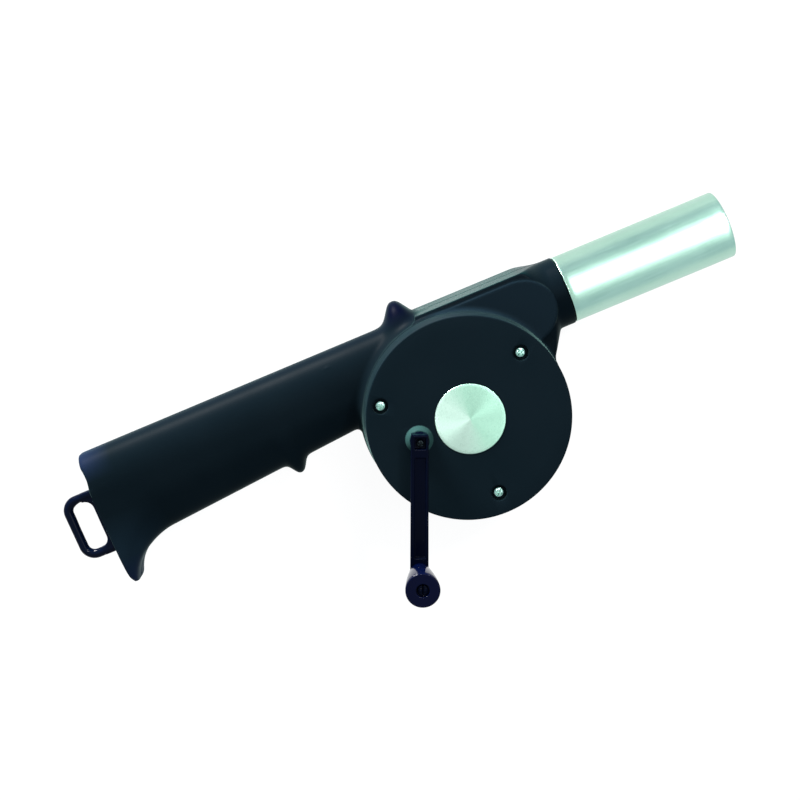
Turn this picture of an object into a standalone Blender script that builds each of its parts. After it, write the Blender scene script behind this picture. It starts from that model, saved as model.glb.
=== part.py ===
"""Hand cranked barbecue blower, modelled for Blender 4.5.

Metres, +Z up. The blower lies on its back: +Z is the fan axis, towards the crank, and +X is the
way the nozzle blows. The origin is where the fan axis meets the plane that the blower rests on.
Run it with: blender --background --python part.py
"""
import math

import bmesh
import bpy
import numpy as np
from mathutils import Matrix, Vector

MM = 0.001
GAP = 0.3 * MM                     # clearance between neighbouring pieces
WALL = 2.0 * MM                    # moulded wall of shells and cover

# Housing
DRUM_RADIUS = 46.2 * MM            # at the parting line
DRUM_DRAFT = 1.8 * MM              # how much the drum narrows from there to the seam
DRUM_EDGE = 2.0 * MM               # rounding of the rear edge
REAR_LIP = 2.0 * MM                # how far the drum stands behind the duct
DUCT_HALF_DEPTH = 16.0 * MM
RING_HEIGHT = 2.5 * MM             # raised ring that the cover sits on
RING_WALL = 2.8 * MM
LIP_HEIGHT = 2.0 * MM              # locating lip of the cover inside the ring
COVER_DEPTH = 13.8 * MM
COVER_DRAFT = 0.9 * MM
COVER_EDGE = 0.9 * MM

# Duct, collar and nozzle
DUCT_TOP = 47.4 * MM
DUCT_START_X = -14.0 * MM
DUCT_SHOULDER_X = 44.0 * MM        # where the square duct starts to turn round
COLLAR_END_X = 60.0 * MM
COLLAR_Y = 31.5 * MM
THROAT_SLOPE = 1.16                # rise of the lower duct wall towards the collar
THROAT_RUN = 7.4 * MM              # length of the plain collar
PANEL_RAISE = 0.8 * MM             # flat panels on the duct's front and back
PANEL_STRAIGHT_X = 38.0 * MM
PANEL_NOSE = 16.0 * MM
PANEL_HALF_HEIGHT = 14.1 * MM
TUBE_RADIUS = 15.0 * MM
TUBE_WALL = 0.8 * MM
TUBE_LENGTH = 74.6 * MM
SPIGOT_WALL = 1.6 * MM
SPIGOT_LENGTH = 12.0 * MM

# Handle
HANDLE_END_X = -164.5 * MM
HANDLE_HALF_DEPTH = 13.6 * MM
HANDLE_ROUNDNESS = 2.6             # exponent of the oval section
HANDLE_TOP = 46.7 * MM
TOP_TAPER = 0.6 * MM               # fall of the upper side towards the end
GRIP_HEIGHT = 40.2 * MM            # top to bottom at the middle of the grip
GRIP_TAPER = 0.089                 # rise of the underside towards the housing
POMMEL_LENGTH = 21.5 * MM
POMMEL_DROP = 15.3 * MM
POMMEL_TIP = 2.2 * MM              # straight end of the pommel's flare
POMMEL_CURVE = 2.35                # exponent of the flare
POMMEL_SQUARENESS = 3.0            # how much squarer the section gets towards the tip
POMMEL_ROUND = 2.2 * MM
HEEL_ROUND = 0.8 * MM
GUARD_X = -76.9 * MM
GUARD_DROP = 5.8 * MM
GUARD_HALF_WIDTH = 3.6 * MM
THUMB_X = -11.45 * MM
THUMB_RISE = 9.2 * MM
THUMB_HALF_WIDTH = 5.3 * MM
END_WALL = 6.5 * MM                # solid end that holds the loop

# Hanging loop
LOOP_WIRE = 2.05 * MM              # radius
LOOP_REACH = 13.4 * MM             # between the middles of its two bars
LOOP_SPAN = 25.8 * MM              # between the middles of the legs
LOOP_CORNER = 5.0 * MM
LOOP_WEB = 4.0 * MM                # inner rounding at the root
LOOP_LOW_Y = 2.3 * MM              # middle of the lower leg
TONGUE_WIDTH = 12.0 * MM
TONGUE_THICKNESS = 3.0 * MM
TONGUE_HEAD = 3.0 * MM

# Crank
CRANK_EDGE = 23.5 * MM             # from the crank's axis to the drum's wall, on the handle's side
CRANK_ANGLE = math.radians(-112.5)
CRANK_LENGTH = 55.0 * MM
CRANK_BOSS_RADIUS = 6.4 * MM
CRANK_BOSS_HEIGHT = 2.4 * MM
ARM_LIFT = 3.6 * MM                # under the arm, above the cover
ARM_DEPTH = 7.2 * MM
ARM_HUB_WIDTH = 7.0 * MM
ARM_KNOB_WIDTH = 7.6 * MM
ARM_OVERHANG = 4.3 * MM
ARM_CHANNEL = 1.0 * MM
ARM_RIB = 1.2 * MM
HUB_RADIUS = 4.1 * MM
HUB_POCKET = 2.2 * MM
SHAFT_RADIUS = 3.0 * MM
SHAFT_SQUARE = 3.6 * MM
STUB_RADIUS = 2.2 * MM
KNOB_LENGTH = 25.2 * MM
KNOB_FRONT_RADIUS = 7.05 * MM
KNOB_BASE_RADIUS = 4.6 * MM
KNOB_POST_RADIUS = 2.0 * MM
KNOB_RECESS_RADIUS = 2.8 * MM
KNOB_RECESS = 2.2 * MM
PRONG_SLIT = 0.8 * MM

# Gears and fan
WHEEL_TEETH = 36
PINION_TEETH = 10
TOOTH_ADDENDUM = 0.75              # in modules
TOOTH_DEDENDUM = 1.15
TOOTH_HALF = 0.19                  # half tooth at the pitch circle, as a share of the circular pitch
GEAR_AIR = 1.0 * MM
AXLE_RADIUS = 1.5 * MM
SOCKET_DEPTH = 2.6 * MM
SOCKET_RADIUS = 4.2 * MM
BUSH_RADIUS = 3.2 * MM
BUSH_LENGTH = 4.4 * MM
BUSH_WALL = 1.8 * MM
IMPELLER_AIR = 11.0 * MM           # between the impeller and the drum wall
IMPELLER_DISC = 1.5 * MM
IMPELLER_HUB = 5.2 * MM
BLADE_THICKNESS = 1.3 * MM
BLADES = 9
BLADE_SWEEP = math.radians(38)

# Intake grille
GRILLE_INNER = 9.5 * MM
SLOT_WIDTH = 3.4 * MM
GRILLE_BAR = 2.8 * MM
GRILLE_RINGS = 3
GRILLE_SPOKES = 6
SPOKE_WIDTH = 3.0 * MM

# Screws and label
SCREW_HEAD_RADIUS = 2.35 * MM
SCREW_HEAD_HEIGHT = 1.8 * MM
SCREW_RADIUS = 1.3 * MM
SCREW_INSET = 10.5 * MM            # screw circle inside the drum's wall
SCREW_SHIFT = (-1.5 * MM, 1.4 * MM)    # middle of that circle from the fan axis
SCREW_ANGLES = (27, 150, 272)
WELL_RADIUS = 3.4 * MM
WELL_DEPTH = 3.0 * MM
POST_RADIUS = 3.2 * MM
COVER_SCREW_LENGTH = 9.0 * MM
BODY_SCREW_LENGTH = 16.0 * MM
TOWER_RADIUS = 4.4 * MM
BODY_SCREW_SEAT = 9.0 * MM
LABEL_ROOM = 1.3 * MM              # between the label and the crank's boss
LABEL_THICKNESS = 0.4 * MM
LABEL_RECESS = 0.5 * MM
LABEL_SHIFT = (0.4 * MM, -0.2 * MM)    # the label sits a little off the axis

# Levels along the fan axis
PART_Z = REAR_LIP + DUCT_HALF_DEPTH
FACE_Z = PART_Z + DUCT_HALF_DEPTH
SEAM_Z = FACE_Z + RING_HEIGHT
COVER_Z = SEAM_Z + GAP + COVER_DEPTH
COVER_INNER_Z = COVER_Z - WALL
WELL_Z = COVER_Z - WELL_DEPTH
CUP_Z = WELL_Z - WALL * 0.8
CHAMBER_TOP_Z = FACE_Z - WALL
GEAR_FACE = (CUP_Z - FACE_Z - 2.6 * GEAR_AIR) / 2
LOWER_GEAR_Z = FACE_Z + 0.8 * GEAR_AIR
UPPER_GEAR_Z = LOWER_GEAR_Z + GEAR_FACE + 0.9 * GEAR_AIR
BOSS_Z = COVER_Z + CRANK_BOSS_HEIGHT
ARM_Z = COVER_Z + ARM_LIFT
ARM_TOP_Z = ARM_Z + ARM_DEPTH
POCKET_Z = ARM_TOP_Z - HUB_POCKET
KNOB_Z = ARM_TOP_Z + GAP
KNOB_TOP_Z = KNOB_Z + KNOB_LENGTH
IMPELLER_Z = BUSH_LENGTH + WALL + 4 * GAP
IMPELLER_TOP_Z = CHAMBER_TOP_Z - SOCKET_DEPTH - 2.0 * MM

# Places across it
CRANK_OFFSET = DRUM_RADIUS - CRANK_EDGE
LABEL_RADIUS = CRANK_OFFSET - CRANK_BOSS_RADIUS - LABEL_ROOM
COVER_RADIUS = DRUM_RADIUS - DRUM_DRAFT
COVER_FRONT_RADIUS = COVER_RADIUS - COVER_DRAFT
RING_INNER_RADIUS = DRUM_RADIUS - DRUM_DRAFT - RING_WALL
CRANK = Vector((-CRANK_OFFSET, 0.0, 0.0))
SCREW_CIRCLE = DRUM_RADIUS - SCREW_INSET
COVER_SCREWS = [
    Vector((SCREW_SHIFT[0] + SCREW_CIRCLE * math.cos(math.radians(angle)),
            SCREW_SHIFT[1] + SCREW_CIRCLE * math.sin(math.radians(angle)), 0.0))
    for angle in SCREW_ANGLES
]
POST_CLEARANCE = 0.8 * MM
WHEEL_ROOM = 3.6 * MM              # between the crank's gear and the wall of its pocket
ROOM_TO_POST = min((CRANK - place).length for place in COVER_SCREWS)
WHEEL_TIP = min(ROOM_TO_POST - POST_RADIUS - POST_CLEARANCE, RING_INNER_RADIUS - CRANK_OFFSET - WHEEL_ROOM)
MODULE = WHEEL_TIP / (WHEEL_TEETH / 2 + TOOTH_ADDENDUM)
CENTRE_DISTANCE = MODULE * (WHEEL_TEETH + PINION_TEETH) / 2
IDLER = Vector((-CRANK_OFFSET / 2, -math.sqrt(CENTRE_DISTANCE**2 - CRANK_OFFSET**2 / 4), 0.0))
IMPELLER_RADIUS = DRUM_RADIUS - WALL - IMPELLER_AIR
BORE_RADIUS = TUBE_RADIUS - TUBE_WALL - GAP - SPIGOT_WALL
LOOP_ROOT_X = HANDLE_END_X - GAP - LOOP_WIRE
LOOP_HIGH_Y = LOOP_LOW_Y + LOOP_SPAN
LOOP_MIDDLE_Y = LOOP_LOW_Y + LOOP_SPAN / 2
BODY_SCREWS = (
    Vector((HANDLE_END_X + END_WALL + 11.0 * MM, HANDLE_TOP / 2, 0.0)),
    Vector((GUARD_X - 22.0 * MM, HANDLE_TOP - GRIP_HEIGHT / 2, 0.0)),
    Vector((-DRUM_RADIUS - 2.0 * MM, HANDLE_TOP - 9.0 * MM, 0.0)),
    Vector((COLLAR_END_X - 16.5 * MM, COLLAR_Y - TUBE_RADIUS, 0.0)),
)


def clear_scene():
    for item in list(bpy.data.objects):
        bpy.data.objects.remove(item, do_unlink=True)


def make_collection(name):
    collection = bpy.data.collections.new(name)
    bpy.context.scene.collection.children.link(collection)
    return collection


clear_scene()
PARTS = make_collection("barbecue_blower")
CUTTERS = make_collection("cutters")


def make_material(name, colour, roughness, metallic=0.0):
    material = bpy.data.materials.new(name)
    material.use_nodes = True
    shader = material.node_tree.nodes["Principled BSDF"]
    shader.inputs["Base Color"].default_value = (*colour, 1.0)
    shader.inputs["Roughness"].default_value = roughness
    shader.inputs["Metallic"].default_value = metallic
    return material


MATT_BLACK = ("matt_black_plastic", (0.012, 0.018, 0.022), 0.5, 0.0)
GLOSS_NAVY = ("gloss_navy_plastic", (0.004, 0.006, 0.022), 0.15, 0.0)
NATURAL_NYLON = ("natural_nylon", (0.62, 0.60, 0.52), 0.45, 0.0)
FAN_GREY = ("grey_fan_plastic", (0.05, 0.055, 0.06), 0.45, 0.0)
ALUMINIUM = ("satin_aluminium", (0.78, 0.84, 0.81), 0.3, 1.0)
FOIL = ("mint_foil", (0.72, 0.86, 0.79), 0.28, 1.0)
ZINC_STEEL = ("zinc_plated_steel", (0.66, 0.70, 0.68), 0.3, 1.0)
BRASS = ("sintered_bronze", (0.55, 0.38, 0.20), 0.4, 1.0)


def add_object(name, mesh, finish=None):
    """A part when it has a finish, otherwise a hidden cutter."""
    item = bpy.data.objects.new(name, mesh)
    if finish is None:
        CUTTERS.objects.link(item)
        item.hide_render = True
        item.display_type = "WIRE"
    else:
        PARTS.objects.link(item)
        mesh.materials.append(make_material(name + "_" + finish[0], *finish[1:]))
    return item


def mesh_from_bmesh(name, build):
    mesh = bpy.data.meshes.new(name)
    build.to_mesh(mesh)
    build.free()
    return mesh


def cylinder(name, radius, low, high, centre=(0.0, 0.0), finish=None, segments=32, top_radius=None):
    """Upright cylinder or cone between two levels."""
    build = bmesh.new()
    place = Matrix.Translation((centre[0], centre[1], (low + high) / 2))
    bmesh.ops.create_cone(build, cap_ends=True, segments=segments, radius1=radius,
                          radius2=radius if top_radius is None else top_radius,
                          depth=high - low, matrix=place)
    return add_object(name, mesh_from_bmesh(name, build), finish)


def box(name, low, high, finish=None):
    """Box between two opposite corners."""
    low, high = Vector(low), Vector(high)
    build = bmesh.new()
    size = Matrix.Diagonal((*(high - low), 1.0))
    bmesh.ops.create_cube(build, size=1.0, matrix=Matrix.Translation((low + high) / 2) @ size)
    return add_object(name, mesh_from_bmesh(name, build), finish)


def turned(name, profile, steps, finish=None):
    """Profile of (radius, height) points turned round Z; it runs down the outer side."""
    mesh = bpy.data.meshes.new(name)
    closed = profile[0][0] > 0.0 or profile[-1][0] > 0.0
    count = len(profile)
    edges = [(k, k + 1) for k in range(count - 1)]
    if closed:
        edges.append((count - 1, 0))
    mesh.from_pydata([(radius, 0.0, height) for radius, height in profile], edges, [])
    item = add_object(name, mesh, finish)
    screw = item.modifiers.new("turn", "SCREW")
    screw.axis = "Z"
    screw.steps = screw.render_steps = steps
    screw.use_merge_vertices = True
    screw.merge_threshold = 0.00001
    screw.use_smooth_shade = True
    return item


def plate(name, outline, low, high, finish=None):
    """Flat outline in X and Y with a thickness, from a filled 2D curve."""
    curve = bpy.data.curves.new(name, "CURVE")
    curve.dimensions = "2D"
    curve.fill_mode = "BOTH"
    curve.extrude = (high - low) / 2
    spline = curve.splines.new("POLY")
    spline.points.add(len(outline) - 1)
    for point, (x, y) in zip(spline.points, outline):
        point.co = (x, y, 0.0, 1.0)
    spline.use_cyclic_u = True
    guide = bpy.data.objects.new(name + "_curve", curve)
    bpy.context.scene.collection.objects.link(guide)
    guide.location.z = (low + high) / 2
    return curve_to_mesh(guide, name, finish)


def curve_to_mesh(guide, name, finish):
    """Welded mesh of an evaluated curve, in the curve's place."""
    bpy.context.view_layer.update()
    evaluated = guide.evaluated_get(bpy.context.evaluated_depsgraph_get())
    mesh = bpy.data.meshes.new_from_object(evaluated)
    build = bmesh.new()
    build.from_mesh(mesh)
    bmesh.ops.remove_doubles(build, verts=build.verts, dist=0.000001)
    bmesh.ops.recalc_face_normals(build, faces=build.faces)
    build.to_mesh(mesh)
    build.free()
    item = add_object(name, mesh, finish)
    item.matrix_world = guide.matrix_world.copy()
    bpy.data.objects.remove(guide, do_unlink=True)
    return item


def loft(name, rings, finish=None):
    """Skin over a row of rings with equal numbers of points, closed by flat ends."""
    build = bmesh.new()
    rows = [[build.verts.new(tuple(point)) for point in ring] for ring in rings]
    count = len(rows[0])
    for first, second in zip(rows, rows[1:]):
        for k in range(count):
            after = (k + 1) % count
            build.faces.new((first[k], first[after], second[after], second[k]))
    build.faces.new(rows[0])
    build.faces.new(rows[-1])
    bmesh.ops.recalc_face_normals(build, faces=build.faces)
    return add_object(name, mesh_from_bmesh(name, build), finish)


def boolean(target, other, operation):
    modifier = target.modifiers.new(operation.lower() + "_" + other.name, "BOOLEAN")
    modifier.object = other
    modifier.operation = operation


def join(target, *others):
    for other in others:
        boolean(target, other, "UNION")


def cut(target, *others):
    for other in others:
        boolean(target, other, "DIFFERENCE")


def shade(item):
    item.data.shade_smooth()
    item.data.set_sharp_from_angle(angle=math.radians(35))


def ease(value):
    """Smooth step from 0 to 1."""
    value = min(max(value, 0.0), 1.0)
    return value * value * (3 - 2 * value)


def bump(x, centre, half_width):
    return math.exp(-((abs(x - centre) / half_width) ** 2.4))


def rounding(distance, radius):
    """Inset of a rounded end at a distance from the end plane."""
    if distance >= radius:
        return 0.0
    return radius - math.sqrt(radius**2 - (radius - max(distance, 0.0)) ** 2)


def flare_share(x):
    """How far the pommel has flared out at a station, from 0 to 1."""
    return min(max(HANDLE_END_X + POMMEL_TIP + POMMEL_LENGTH - x, 0.0) / POMMEL_LENGTH, 1.0)


def handle_span(x):
    """Lowest and highest Y and half depth of the handle at a station."""
    grip_x = HANDLE_END_X / 2
    high = HANDLE_TOP - TOP_TAPER * x / HANDLE_END_X + THUMB_RISE * bump(x, THUMB_X, THUMB_HALF_WIDTH)
    low = HANDLE_TOP - GRIP_HEIGHT + GRIP_TAPER * (x - grip_x)
    low -= POMMEL_DROP * flare_share(x) ** POMMEL_CURVE + GUARD_DROP * bump(x, GUARD_X, GUARD_HALF_WIDTH)
    end = x - HANDLE_END_X
    inset = rounding(end, HEEL_ROUND)
    return low + rounding(end, POMMEL_ROUND), high - inset, HANDLE_HALF_DEPTH - 0.6 * inset


def throat_low(x):
    """Lower outline of the duct: a slope up to the collar."""
    collar_low = COLLAR_Y - TUBE_RADIUS
    slope = collar_low - THROAT_SLOPE * max(COLLAR_END_X - THROAT_RUN - x, 0.0)
    return max(slope, 0.0)


def duct_span(x):
    """Lowest and highest Y, half depth and section exponent of the duct."""
    turn = ease((x - DUCT_SHOULDER_X) / (COLLAR_END_X - 3.0 * MM - DUCT_SHOULDER_X))
    collar_high = COLLAR_Y + TUBE_RADIUS
    high = DUCT_TOP + (collar_high - DUCT_TOP) * turn
    depth = DUCT_HALF_DEPTH - PANEL_RAISE + (TUBE_RADIUS - DUCT_HALF_DEPTH + PANEL_RAISE) * turn
    roundness = 2.0 + 7.0 * (1.0 - turn) ** 2
    return throat_low(x), high, depth, roundness


def section(x, low, high, half_depth, exponent, count=32, low_exponent=None):
    """Rounded oval in the plane across X, which may be squarer at its lower side."""
    points = []
    for k in range(count):
        angle = 2 * math.pi * (k + 0.5) / count
        across, deep = math.cos(angle), math.sin(angle)
        n = low_exponent if low_exponent and across < 0 else exponent
        y = math.copysign(abs(across) ** (2 / n), across) * (high - low) / 2
        z = math.copysign(abs(deep) ** (2 / n), deep) * half_depth
        points.append((x, (low + high) / 2 + y, PART_Z + z))
    return points


def stations(*spans):
    """Places along X from (start, end, pieces) spans that follow each other."""
    row = []
    for start, end, pieces in spans:
        row += [start + (end - start) * k / pieces for k in range(pieces)]
    return row + [spans[-1][1]]


def low_roundness(x):
    return HANDLE_ROUNDNESS + POMMEL_SQUARENESS * flare_share(x)


def handle_solid():
    end = HANDLE_END_X
    guard, thumb = GUARD_X, THUMB_X
    row = stations((end, end + POMMEL_ROUND, 4), (end + POMMEL_ROUND, end + 26.0 * MM, 5),
                   (end + 26.0 * MM, guard - 8.0 * MM, 3), (guard - 8.0 * MM, guard + 8.0 * MM, 12),
                   (guard + 8.0 * MM, thumb - 10.0 * MM, 2), (thumb - 10.0 * MM, thumb + 12.0 * MM, 11))
    return loft("handle_solid", [section(x, *handle_span(x), HANDLE_ROUNDNESS, low_exponent=low_roundness(x))
                                 for x in row])


def handle_hollow():
    start = HANDLE_END_X + END_WALL
    stop = THUMB_X - 16.0 * MM
    guard = GUARD_X
    row = stations((start, start + 16.0 * MM, 4), (start + 16.0 * MM, guard - 8.0 * MM, 3),
                   (guard - 8.0 * MM, guard + 8.0 * MM, 4), (guard + 8.0 * MM, stop, 2))
    rings = []
    for x in row:
        low, high, depth = handle_span(x)
        low += WALL + 0.8 * GUARD_DROP * bump(x, guard, GUARD_HALF_WIDTH)
        rings.append(section(x, low, high - WALL, depth - WALL, HANDLE_ROUNDNESS, 24, low_roundness(x)))
    hollow = loft("handle_hollow", rings)
    cut(hollow, cylinder("drum_keep", DRUM_RADIUS, -WALL, SEAM_Z + WALL, segments=48))
    return hollow


def duct_solid():
    shoulder = DUCT_SHOULDER_X
    row = stations((DUCT_START_X, shoulder - 6.0 * MM, 2), (shoulder - 6.0 * MM, COLLAR_END_X, 11))
    return loft("duct_solid", [section(x, *duct_span(x), 40) for x in row])


def duct_hollow():
    shoulder = DUCT_SHOULDER_X
    stop = COLLAR_END_X - THROAT_RUN
    row = stations((DUCT_START_X + 14.0 * MM, shoulder, 2), (shoulder, stop, 5))
    rings = []
    for x in row:
        low, high, depth, roundness = duct_span(x)
        inset = WALL + (TUBE_RADIUS - BORE_RADIUS - WALL + GAP) * ease((x - shoulder) / (stop - shoulder))
        rings.append(section(x, low + inset, high - inset, depth - inset, roundness, 32))
    return loft("duct_hollow", rings)


def panel_outline():
    """Straight panel with a rounded nose, drawn round the collar's height."""
    middle = COLLAR_Y - 1.0 * MM
    nose = []
    for k in range(13):
        angle = math.pi * (k / 12 - 0.5)
        nose.append((PANEL_STRAIGHT_X + PANEL_NOSE * math.cos(angle),
                     middle + PANEL_HALF_HEIGHT * math.sin(angle)))
    back = DUCT_START_X + 10.0 * MM
    return [(back, middle - PANEL_HALF_HEIGHT), *nose, (back, middle + PANEL_HALF_HEIGHT)]


def along_x(name, radius, low, high, centre_y, centre_z, segments=48):
    """Cylinder lying along X."""
    rod = cylinder(name, radius, low, high, segments=segments)
    rod.rotation_euler = (0.0, math.radians(90), 0.0)
    rod.location = (0.0, centre_y, centre_z)
    return rod


def drum_profile():
    parting = DRUM_RADIUS
    seam = DRUM_RADIUS - DRUM_DRAFT
    edge = [(parting - DRUM_DRAFT - DRUM_EDGE * (1 - math.cos(math.radians(a))),
             DRUM_EDGE * (1 - math.sin(math.radians(a)))) for a in (0, 30, 60, 90)]
    return [(0.0, SEAM_Z), (seam, SEAM_Z), (parting, PART_Z), *edge, (0.0, 0.0)]


def body_outer():
    outer = turned("body_outer", drum_profile(), 72)
    panel = plate("panels", panel_outline(), PART_Z - DUCT_HALF_DEPTH, FACE_Z)
    spigot = along_x("spigot", TUBE_RADIUS - TUBE_WALL - GAP, COLLAR_END_X - 8.0 * MM,
                     COLLAR_END_X + SPIGOT_LENGTH, COLLAR_Y, PART_Z)
    join(outer, duct_solid(), handle_solid(), panel, spigot)
    return outer


def body_hollow():
    chamber = cylinder("body_hollow", DRUM_RADIUS - DRUM_DRAFT - WALL, WALL, CHAMBER_TOP_Z, segments=72)
    bore = along_x("bore", BORE_RADIUS, DUCT_SHOULDER_X, COLLAR_END_X + SPIGOT_LENGTH + WALL,
                   COLLAR_Y, PART_Z)
    pocket = cylinder("gear_pocket", RING_INNER_RADIUS, FACE_Z, SEAM_Z + WALL, segments=72)
    join(chamber, duct_hollow(), bore, handle_hollow(), pocket)
    return chamber


def tongue_slot():
    """Slot in the handle's end for the loop's tongue."""
    half, deep = TONGUE_WIDTH / 2 + GAP, TONGUE_THICKNESS / 2 + GAP
    return box("tongue_slot", (HANDLE_END_X - WALL, LOOP_MIDDLE_Y - half, PART_Z - deep),
               (HANDLE_END_X + END_WALL + WALL, LOOP_MIDDLE_Y + half, PART_Z + deep))


def wall_z(place):
    """Depth from the parting plane to the middle of the wall over a body screw."""
    if place.x < 0:
        low, high, depth = handle_span(place.x)
        exponent = HANDLE_ROUNDNESS
    else:
        low, high, depth, exponent = duct_span(place.x)
    share = abs(place.y - (low + high) / 2) / ((high - low) / 2)
    return depth * (1 - min(share, 0.98) ** exponent) ** (1 / exponent) - WALL / 2


def make_front_shell(outer, hollow):
    shell = box("front_shell", (-0.25, -0.12, PART_Z + GAP / 2), (0.25, 0.12, 0.12), MATT_BLACK)
    boolean(shell, outer, "INTERSECT")
    cut(shell, hollow, tongue_slot())
    for number, place in enumerate(COVER_SCREWS, 1):
        join(shell, cylinder(f"cover_post_{number}", POST_RADIUS, FACE_Z - WALL / 2, CUP_Z - GAP, place,
                             segments=20))
        cut(shell, cylinder(f"cover_pilot_{number}", SCREW_RADIUS + GAP, FACE_Z + 0.8 * MM, CUP_Z + WALL, place,
                            segments=12))
    for number, place in enumerate(BODY_SCREWS, 1):
        top = PART_Z + wall_z(place)
        join(shell, cylinder(f"body_post_{number}", POST_RADIUS, PART_Z + GAP / 2, top, place, segments=20))
        cut(shell, cylinder(f"body_pilot_{number}", SCREW_RADIUS + GAP, PART_Z - WALL, top - WALL, place,
                            segments=12))
    for name, place, radius in (("crank_socket", CRANK, STUB_RADIUS), ("idler_socket", IDLER, AXLE_RADIUS)):
        bottom = CHAMBER_TOP_Z - SOCKET_DEPTH
        join(shell, cylinder(name, SOCKET_RADIUS, bottom, FACE_Z - WALL / 2, place, segments=24))
        cut(shell, cylinder(name + "_hole", radius + GAP, bottom + WALL * 0.7, FACE_Z + WALL, place,
                            segments=16))
    cut(shell, cylinder("fan_shaft_hole", AXLE_RADIUS + 3 * GAP, CHAMBER_TOP_Z - WALL, FACE_Z + WALL,
                        segments=16))
    shade(shell)
    return shell


def grille_slots():
    """One slot between each pair of spokes on each ring, as annular sectors."""
    slots = []
    for ring in range(GRILLE_RINGS):
        inner = GRILLE_INNER + ring * (SLOT_WIDTH + GRILLE_BAR)
        outer = inner + SLOT_WIDTH
        steps = 3 + ring
        for spoke in range(GRILLE_SPOKES):
            middle = 2 * math.pi * (spoke + 0.5) / GRILLE_SPOKES
            outline = []
            for radius, sign in ((inner, 1), (outer, -1)):
                half = math.pi / GRILLE_SPOKES - SPOKE_WIDTH / 2 / radius
                for k in range(steps + 1):
                    angle = middle + sign * half * (2 * k / steps - 1)
                    outline.append((radius * math.cos(angle), radius * math.sin(angle)))
            slots.append(plate(f"slot_{ring}_{spoke}", outline, -WALL, 2 * WALL))
    return slots


def make_rear_shell(outer, hollow):
    shell = box("rear_shell", (-0.25, -0.12, -0.05), (0.25, 0.12, PART_Z - GAP / 2), MATT_BLACK)
    boolean(shell, outer, "INTERSECT")
    cut(shell, hollow, tongue_slot())
    for number, place in enumerate(BODY_SCREWS, 1):
        bottom = PART_Z - wall_z(place)
        join(shell, cylinder(f"tower_{number}", TOWER_RADIUS, bottom, PART_Z - GAP / 2, place, segments=20))
        cut(shell, cylinder(f"counterbore_{number}", SCREW_HEAD_RADIUS + 2 * GAP, -WALL, BODY_SCREW_SEAT,
                            place, segments=16),
            cylinder(f"screw_way_{number}", SCREW_RADIUS + GAP, 0.0, PART_Z + WALL, place, segments=12))
    cut(shell, *grille_slots())
    hub_top = WALL + BUSH_LENGTH
    join(shell, cylinder("rear_hub", BUSH_RADIUS + GAP + BUSH_WALL, WALL / 2, hub_top, segments=28))
    cut(shell, cylinder("rear_hub_bore", BUSH_RADIUS + GAP, WALL, hub_top + WALL, segments=24))
    shade(shell)
    return shell


def cover_profile():
    lip_outer = RING_INNER_RADIUS - GAP
    lip_inner = lip_outer - WALL * 0.6
    low = SEAM_Z + GAP
    edge = [(COVER_FRONT_RADIUS - COVER_EDGE * (1 - math.cos(math.radians(a))),
             COVER_Z - COVER_EDGE * (1 - math.sin(math.radians(a)))) for a in (90, 60, 30, 0)]
    lip_end = SEAM_Z - LIP_HEIGHT
    return [(0.0, COVER_Z), *edge, (COVER_RADIUS, low), (lip_outer, low), (lip_outer, lip_end),
            (lip_inner, lip_end), (COVER_FRONT_RADIUS - WALL, COVER_INNER_Z), (0.0, COVER_INNER_Z)]


def boss_profile():
    """Crank boss with a rounded shoulder."""
    radius, height = CRANK_BOSS_RADIUS, CRANK_BOSS_HEIGHT
    round_off = 0.7 * height
    shoulder = [(radius - round_off * (1 - math.sin(math.radians(a))),
                 BOSS_Z - round_off * (1 - math.cos(math.radians(a)))) for a in (0, 30, 60, 90)]
    return [(0.0, BOSS_Z), *shoulder, (radius, COVER_INNER_Z), (0.0, COVER_INNER_Z)]


def make_gear_cover():
    cover = turned("gear_cover", cover_profile(), 72, MATT_BLACK)
    boss = turned("crank_boss", boss_profile(), 32)
    boss.location = CRANK
    web = COVER_INNER_Z + WALL / 2
    cups = [cylinder(f"cup_{k}", WELL_RADIUS + 0.6 * WALL, CUP_Z, web, place, segments=24)
            for k, place in enumerate(COVER_SCREWS)]
    bush_low = COVER_INNER_Z - BUSH_LENGTH
    bush_boss = cylinder("bush_boss", BUSH_RADIUS + GAP + BUSH_WALL, bush_low, web, segments=28)
    idler_boss = cylinder("idler_boss", AXLE_RADIUS + WALL, CUP_Z, web, IDLER, segments=20)
    reliefs = [cylinder(f"post_relief_{k}", POST_RADIUS + GAP, SEAM_Z - LIP_HEIGHT - WALL, CUP_Z + WALL / 4,
                        place, segments=24) for k, place in enumerate(COVER_SCREWS)]
    cut(cover, *reliefs)
    join(cover, boss, *cups, bush_boss, idler_boss)
    cut(cover, cylinder("crank_bore", SHAFT_RADIUS + GAP, CUP_Z, BOSS_Z + WALL, CRANK, segments=24))
    cut(cover, cylinder("bush_bore", BUSH_RADIUS + GAP, bush_low - WALL, COVER_INNER_Z, segments=24))
    cut(cover, cylinder("idler_bore", AXLE_RADIUS + GAP, CUP_Z - WALL, COVER_INNER_Z, IDLER, segments=16))
    cut(cover, cylinder("label_recess", LABEL_RADIUS + GAP, COVER_Z - LABEL_RECESS, COVER_Z + WALL, LABEL_SHIFT,
                        segments=64))
    for number, place in enumerate(COVER_SCREWS, 1):
        cut(cover, cylinder(f"well_{number}", WELL_RADIUS, WELL_Z, COVER_Z + WALL, place, segments=28),
            cylinder(f"well_hole_{number}", SCREW_RADIUS + GAP, CUP_Z - WALL, COVER_Z, place, segments=12))
    shade(cover)
    return cover


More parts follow.
